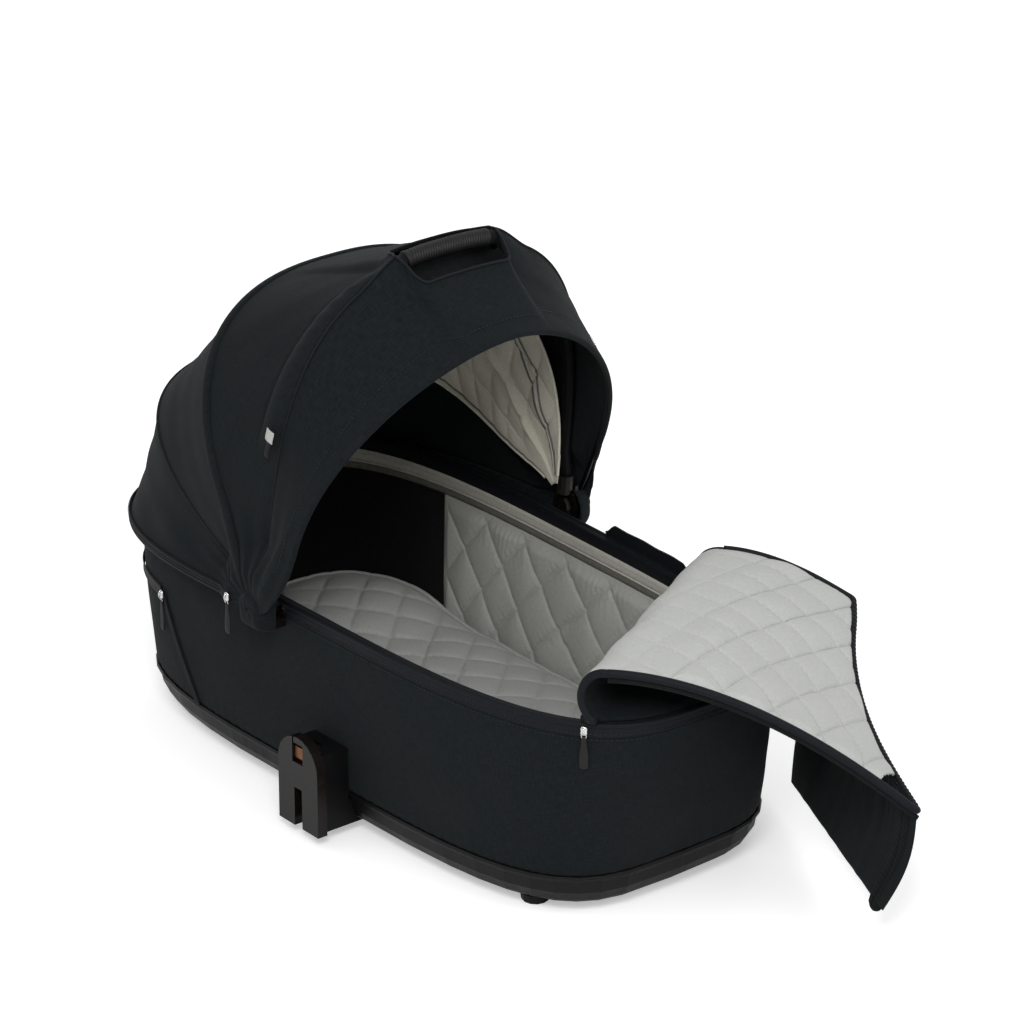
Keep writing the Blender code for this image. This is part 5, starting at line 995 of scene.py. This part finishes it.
def grip():
    """Carrying grip wound with fine slanting ribs, and the padded sleeves on both sides of it."""
    path = resample(handle_line(801, -GRIP_HALF, GRIP_HALF), 560)
    s = lengths(path)
    end = np.minimum(s, s[-1] - s)
    collar = 0.0006 * smooth(end / 0.0012) * (1 - smooth((end - 0.004) / 0.0015))
    round_end = np.sqrt(1 - (1 - np.clip(end / 0.0022, 0, 1)) ** 2)
    ribbed = smooth((end - 0.0055) / 0.001)
    phase = s[:, None] / RIB_PITCH + circle(36) / (2 * pi) * RIB_TURNS
    ribs = (np.abs(np.sin(pi * phase)) - 0.75) * 0.0009 * ribbed[:, None]
    radius = (GRIP_RADIUS - 0.0004) * (0.80 + 0.20 * round_end)[:, None] + collar[:, None] + ribs
    made = surface("ribbed_grip", path[:, None] + rings(path, 36) * radius[..., None], "rubber", tube=True)
    fit(made, "handle", "handle_grip")
    for name, low, high in (("near", -SLEEVE_END, -SLEEVE_START), ("far", SLEEVE_START, SLEEVE_END)):
        line = resample(handle_line(401, low, high), 130)
        s = lengths(line)
        radius = SLEEVE_RADIUS + 0.0004 * waves(s, 0.0065, 2 * np.sin(s * 90)) + 0.0003 * waves(s, 0.017)
        fit(tube(f"handle_sleeve_{name}", line, radius, "pad", 20), "handle")


# Apron


CREST_ALONG = unit(CREST_FAR - CREST_NEAR)
OUTWARD = unit(np.array([CREST_ALONG[1], -CREST_ALONG[0], 0.0]))
BASE_ROWS, ROLL_ROWS, PANEL_ROWS = 12, 22, 190
SEAT = RIM_Z + 0.0023


def falling(start, end, share):
    flat = start + (end - start) * share
    flat[..., 2] = start[2] - (start[2] - end[2]) * share[..., 0] ** FALL_POWER
    return flat


def free_edge(share):
    pull = np.sin(pi * share)
    return TIP + (CORNER - TIP) * share - OUTWARD * (EDGE_PULL * pull) - UP * (EDGE_SAG * pull)


def apron_point(p, q):
    """Points of the folded-back part, from edge to edge with p and from crest to free edge with q."""
    p, q = np.broadcast_arrays(np.asarray(p, float), q)
    p, q = p[..., None], q[..., None]
    near, far = falling(CREST_NEAR, TIP, q), falling(CREST_FAR, CORNER, q)
    crest, free = CREST_NEAR + (CREST_FAR - CREST_NEAR) * p, free_edge(p)
    flat = crest * (1 - q) + (TIP + (CORNER - TIP) * p) * q
    return near * (1 - p) + far * p + crest * (1 - q) + free * q - flat


def apron_sheet(columns):
    """Whole apron: from the rim, up round the roll to the crest and on to the free edge."""
    angles, _ = run(angle_at(APRON_START_X, -1), angle_at(APRON_END_X, 1), columns)
    p = np.linspace(0, 1, columns)[:, None]
    rim = tub(angles, RIM_Z, BINDING_WIDTH / 2, SEAT)
    crest = CREST_NEAR + (CREST_FAR - CREST_NEAR) * p
    height = ((crest[:, 2] - SEAT) / 2)[:, None]
    roll = [crest - OUTWARD * (ROLL_DEPTH * sin(t)) - UP * (height * (1 - cos(t)))
            for t in np.linspace(ROLL_TURN, 0, ROLL_ROWS)]
    base = [rim + (roll[0] - rim) * share for share in np.linspace(0, 1, BASE_ROWS, endpoint=False)]
    return np.stack(base + roll, axis=1), apron_point(p, np.linspace(0, 1, PANEL_ROWS)[None, :])


def along_columns(grid):
    steps = np.linalg.norm(np.diff(grid, axis=1), axis=-1)
    return np.concatenate([np.zeros((grid.shape[0], 1)), np.cumsum(steps, axis=1)], axis=1)


def cut_back(grid, cut):
    """Draws the sheet's end back from the tip, where only the elastic cord spans the corner."""
    p = np.linspace(0, 1, grid.shape[0])
    keep = 0.994 - cut * smooth((0.20 - p) / 0.20) ** 1.3
    t = along_columns(grid)
    goals = np.linspace(0, 1, grid.shape[1])[None, :] * (t[:, -1] * keep)[:, None]
    return np.stack([at(*row) for row in zip(goals, t, grid)])


def apron():
    """Quilted apron and its shell, folded back over the foot end, with corded edges."""
    columns = 180
    lower, upper = apron_sheet(columns)
    grid = np.concatenate([lower, upper[:, 1:]], axis=1)
    crest_row = lower.shape[1] - 1
    t = along_columns(grid)
    t = t - t[:, crest_row:crest_row + 1]
    s = np.linspace(0, APRON_WIDTH, columns)[:, None] + 0 * t
    normal = normals_of(grid)
    normal = normal * np.sign(normal[columns // 2, -40, 2])
    q = np.clip(t / t[:, -1:], 0, 1)
    edge = smooth(s / 0.012) * smooth((APRON_WIDTH - s) / 0.012) * smooth((1 - q) / 0.05)
    edge = edge * smooth((t - t[:, :1]) / 0.02)
    soft = 0.35 + 0.65 * smooth((t - 0.02) / 0.05)
    # The two families of seams, numbered over the sheet
    first = -0.29 - 1.03 * s + 21.01 * t - 3.94 * s * t - 10.43 * s ** 2 - 5.85 * t ** 2
    second = -0.77 + 17.63 * s + 11.75 * t - 28.31 * s * t + 16.26 * s ** 2 + 19.09 * t ** 2
    sewing = sewn(s, t, first, second, APRON_DIAMOND)
    slack = ripples(s, t, 51, 10, 0.05, 0.18) * 0.0016 * edge + 0.0012 * edge * soft
    sag = -0.003 * smooth((q - 0.15) / 0.3) * np.sin(pi * s / APRON_WIDTH) * smooth((1 - q) / 0.3)
    top = grid + normal * (0.0010 + sewing * APRON_SWELL * edge * soft + slack + sag)[..., None]
    under = grid + normal * (-0.0014 + slack * 0.5 + sag - 0.0012 * sewing * edge)[..., None]
    under[:, 0] -= UP * 0.0030
    front, back = (CREST_NEAR + OUTWARD * way for way in (-BEND_BEFORE_CREST, BEND_AFTER_CREST))
    front, back = front.tolist(), back.tolist()
    for name, cut, look, thickness, slot, node in (
            ("apron_quilt", cut_back(top, QUILT_CUT)[:, 5:], "pale", 0.0016, "apron_lining", "apron_panel"),
            ("apron_shell", cut_back(under, SHELL_CUT), "canvas", THIN_CLOTH, "black_fabric", "apron_base")):
        made = surface(name, cut, look, thickness=thickness)
        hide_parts(node)
        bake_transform(made)
        sheet(made)

    # Corded edge: thick beside the slider, gathered over its elastic along the free edge
    near = apron_point(np.zeros(120), np.linspace(0.004, 1, 120))
    free = apron_point(np.linspace(0, 1, 160), np.ones(160))
    far = apron_point(np.ones(100), np.linspace(1, 0.004, 100))
    path = resample(np.concatenate([near, free[1:], far[1:]]), 520)
    s = lengths(path)
    near_end, free_end = lengths(near)[-1], lengths(near)[-1] + lengths(free)[-1]
    gathered = smooth((s - near_end + 0.01) / 0.02) * smooth((free_end - s + 0.01) / 0.02)
    after = smooth((s - free_end + 0.01) / 0.02)
    radius = EDGE_THICK - 0.0009 * gathered - 0.0008 * after + gathered * 0.0004 * waves(s, 0.0062)
    radius = radius + 0.0020 * bell(s, free_end - 0.03, 0.032)
    path = path + UP * (0.0008 + 0.0014 * gathered + 0.0016 * after)[:, None] + OUTWARD * (0.0010 * gathered)[:, None]
    fit(tube("apron_edge", path, radius, "tape", 12), "apron", "apron_binding")
    under_edge = resample(near - UP * 0.0062 + OUTWARD * 0.0004, 200)
    fit(tube("apron_edge_under", under_edge, EDGE_UNDER, "pad", 12), "apron")
    for name, column, size in (("near", 0, EDGE_THICK), ("far", columns - 1, EDGE_THIN)):
        line = resample(np.concatenate([lower[column], upper[column, 1:4]]) + UP * 0.0006, 90)
        fit(tube(f"apron_edge_roll_{name}", line, size, "tape", 12), "cot")
    fit(stitches("apron_stitches_near", top[5, crest_row + 8:-48] + UP * 0.0003, "grey thread"), "apron")


def hinge_to_flap(piece):
    """Bakes a piece's placement into its mesh; the seam and the way down to the flap are worked out but not used."""
    seam, span = (TIP + CORNER) / 2, CORNER - TIP
    way = (FLAP_LOW[0] + FLAP_LOW[1]) / 2 - seam
    way = unit(way - span * (way @ span) / (span @ span))
    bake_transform(piece)


def flap():
    """Wind flap gathered on the free edge, with a hemmed lower edge and a ribbed strip at its near end."""
    along = np.linspace(0, FLAP_END, 200)[:, None, None]
    down = np.linspace(0, 1, 60)[None, :, None]
    top = free_edge(along)
    low = FLAP_LOW[0] + (FLAP_LOW[1] - FLAP_LOW[0]) * along
    start = top + unit(low - top) * 0.0022
    folds = 0.0010 * np.sin(2 * pi * along * 7 + 1.2 * np.sin(along * 23)) * (1 - 0.75 * smooth(down / 0.8))
    folds = folds + 0.0011 * np.sin(2 * pi * along * 19 + 2 * np.sin(along * 31)) * np.exp(-down / 0.22)
    folds = folds * smooth(along / 0.05) * smooth((FLAP_END - along) / 0.04)
    belly = 0.7 - 2.0 * smooth((along - 0.72) / 0.22)
    lift = FLAP_BELLY * belly * np.sin(pi * down) + folds * smooth(down / 0.08)
    grid = start + (low - start) * down + OUTWARD * lift
    made = surface("hanging_flap", grid, "canvas", thickness=0.0016, inward=0.0)
    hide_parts("wind_flap")
    hinge_to_flap(made)
    sheet(made)
    for name, row in (("flap_stitches_hem", 53), ("flap_stitches_seam", 4)):
        hinge_to_flap(stitches(name, grid[8:-4, row] + OUTWARD * 0.0012))

    # Strip down the near end: a flat padded channel with a round lower end
    line = grid[14] + OUTWARD * 0.0010
    line = resample(np.concatenate([line, line[-1:] + unit(line[-1] - line[-8]) * 0.010]), 170)
    s = lengths(line)
    rounded = np.sqrt(1 - (1 - np.clip((s[-1] - s) / 0.012, 0, 1)) ** 2)
    width = STRIP_HALF * np.maximum(rounded, 0.08)
    across = unit(grid[14, 20] - grid[0, 20])
    turns = circle(56)[:, None]
    face = powered(np.sin(turns), 0.6) * (1 - 0.45 * bell(np.cos(turns), 0, 0.10))
    thick = (0.0030 + 0.0002 * waves(s, 0.0050)) * np.clip(rounded * 1.3, 0.1, 1)
    ring = across * np.cos(turns) * width[:, None, None] + OUTWARD * face * thick[:, None, None]
    strip = surface("flap_end_strip", line[:, None] + ring, "pad", tube=True)
    hinge_to_flap(strip)


# Sliders and pull tabs: place, way out, the tab's pivot and the slider's body


SLIDERS = (
    ("apron", (0.37626, -0.12566, 0.2145), (0.65257, -0.75773, 0), (0.37773, -0.12737, 0.2077), "cot"),
    ("hem", (-0.0886, -0.2239, 0.22138), (0, -1, 0), (-0.0886, -0.22615, 0.21458), "cot"),
    ("vent", (-0.2708, -0.18185, 0.146), (-0.19401, -0.981, 0), (-0.27124, -0.18405, 0.1392), "vent_zip"),
)


def slider(name, point, outward, pivot, body):
    point, outward, pivot = np.array(point), unit(np.array(outward, float)), np.array(pivot)
    along = np.cross(UP, outward)
    # Body: a rounded shield with a waist
    v = np.linspace(-pi / 2, pi / 2, 25)[None, :, None]
    u = circle(40)[:, None, None]
    x, d, lean, z = (powered(value, 0.75) for value in (np.cos(u), np.sin(u), np.cos(v), np.sin(v)))
    waist = 1 - 0.14 * bell(z, 0, 0.35)
    grid = point + outward * (0.0022 + d * lean * 0.0026) + along * (x * lean * 0.0040 * waist) + UP * (z * 0.0052)
    made = surface(f"{name}_slider_body", grid, "chrome", around=True)
    fit(made, body, f"{name}_slider")
    # Bridge over the body, and the ring that goes through it
    t = np.linspace(0, pi, 28)[:, None]
    arc = point + outward * (0.0042 + 0.0017 * np.sin(t)) + UP * (0.0036 * np.cos(t))
    fit(tube(f"{name}_slider_bridge", arc, 0.0008, "chrome", 10, hint=tuple(along)), body)
    t = circle(36)[:, None]
    loop = pivot + UP * (0.0016 + 0.0034 * np.cos(t)) + outward * (0.0012 + 0.0012 * np.cos(t))
    loop = loop + along * (0.0026 * np.sin(t))
    fit(tube(f"{name}_pull_ring", loop, 0.0006, "chrome", 8, hint=tuple(outward), closed=True), body)
    # Soft tab with grooves to hold it by
    down = np.concatenate([[0.0], np.linspace(0.0, 1.0, 90), [1.0]])[:, None]
    cap = np.sqrt(np.clip(1 - ((down - 0.89) / 0.11).clip(0, 1) ** 2, 0, 1))
    head = np.sqrt(np.clip(1 - ((0.06 - down) / 0.06).clip(0, 1) ** 2, 0, 1))
    half = (0.0027 + 0.0019 * smooth((down - 0.10) / 0.55)) * np.maximum(cap * head, 0.02)
    thick = (0.0013 - 0.0003 * bell(down, 0.55, 0.22)) * np.maximum(np.minimum(cap, head), 0.05)
    grooves = 0.00022 * waves(down, 0.055) * smooth((down - 0.38) / 0.03) * smooth((0.80 - down) / 0.03)
    turns = circle(28)
    side, face = powered(np.cos(turns), 0.7), powered(np.sin(turns), 0.7)
    grid = (pivot + UP * (TAB_TOP - down * TAB_LENGTH)[..., None] + along * (side * half)[..., None]
            + outward * (face * (thick + grooves))[..., None])
    fit(surface(f"{name}_pull_tab", grid, "rubber", tube=True), f"{name}_tab", f"{name}_pull")


# Floor, light and camera


LAMPS = (("key", (-1.2, -2.2, 2.6), 1.6, 6.0), ("side", (2.4, 0.9, 1.9), 1.4, 15.0),
         ("front", (1.9, -1.7, 2.4), 1.2, 48.0), ("back", (-1.4, 2.0, 2.2), 1.6, 6.0))
LAMP_AIM, CAMERA_AIM = (0.05, 0, 0.2), (0.1128, 0, 0.3203)
CAMERA_PLACE, CAMERA_LENS, CAMERA_SENSOR = (3.64820, -2.85428, 2.34016), 167.44, 36.0
FLOOR_GLOW, WORLD_LIGHT = 0.40, 0.66


def stand(name, data, place, aim):
    """Object at a place, turned to look at a point."""
    made = bpy.data.objects.new(name, data)
    bpy.context.scene.collection.objects.link(made)
    made.location = place
    made.rotation_euler = (Vector(aim) - Vector(place)).to_track_quat("-Z", "Y").to_euler()
    return made


def studio():
    floor_mesh = bpy.data.meshes.new("floor")
    corners = [(FLOOR_HALF * a, FLOOR_HALF * b, FLOOR_Z) for a, b in ((-1, -1), (1, -1), (1, 1), (-1, 1))]
    floor_mesh.from_pydata(corners, [], [(0, 1, 2, 3)])
    floor = bpy.data.objects.new("floor", floor_mesh)
    bpy.context.scene.collection.objects.link(floor)
    look = bpy.data.materials.new("floor")
    look.use_nodes = True
    nodes, links = look.node_tree.nodes, look.node_tree.links
    nodes.clear()
    diffuse, glow, total, out = (nodes.new(k) for k in (
        "ShaderNodeBsdfDiffuse", "ShaderNodeEmission", "ShaderNodeAddShader", "ShaderNodeOutputMaterial"))
    path = nodes.new("ShaderNodeLightPath")
    scale = nodes.new("ShaderNodeMath")
    scale.operation = "MULTIPLY"
    scale.inputs[1].default_value = FLOOR_GLOW
    diffuse.inputs["Color"].default_value = (0.86, 0.86, 0.86, 1)
    glow.inputs["Color"].default_value = (1, 1, 1, 1)
    for a, b in ((path.outputs["Is Camera Ray"], scale.inputs[0]), (scale.outputs[0], glow.inputs["Strength"]),
                 (diffuse.outputs[0], total.inputs[0]), (glow.outputs[0], total.inputs[1]),
                 (total.outputs[0], out.inputs["Surface"])):
        links.new(a, b)
    floor_mesh.materials.append(look)

    world = bpy.data.worlds.new("studio")
    world.use_nodes = True
    nodes, links = world.node_tree.nodes, world.node_tree.links
    background = nodes["Background"]
    background.inputs["Color"].default_value = (1, 1, 1, 1)
    path = nodes.new("ShaderNodeLightPath")
    seen, more = nodes.new("ShaderNodeMath"), nodes.new("ShaderNodeMapRange")
    seen.operation = "MAXIMUM"
    more.inputs["To Min"].default_value = WORLD_LIGHT
    more.inputs["To Max"].default_value = 1.0
    for a, b in ((path.outputs["Is Camera Ray"], seen.inputs[0]), (path.outputs["Is Transmission Ray"], seen.inputs[1]),
                 (seen.outputs[0], more.inputs["Value"]), (more.outputs["Result"], background.inputs["Strength"])):
        links.new(a, b)
    bpy.context.scene.world = world

    for name, place, size, power in LAMPS:
        lamp = bpy.data.lights.new(name, "AREA")
        lamp.shape, lamp.size, lamp.energy = "DISK", size, power
        stand(name, lamp, place, LAMP_AIM)
    lens = bpy.data.cameras.new("photo view")
    lens.lens, lens.sensor_width = CAMERA_LENS, CAMERA_SENSOR
    bpy.context.scene.camera = stand("photo view", lens, CAMERA_PLACE, CAMERA_AIM)
    bpy.context.scene.view_settings.view_transform = "Standard"


for step in (outer_cover, rim_tape, liner_quilt, head_panel, trim_band, mattress_pad, rim_zip, vent_zip,
             hood, hem_band, hub_covers, lining, label, grip, apron, flap):
    step()
for each in SLIDERS:
    slider(*each)
studio()
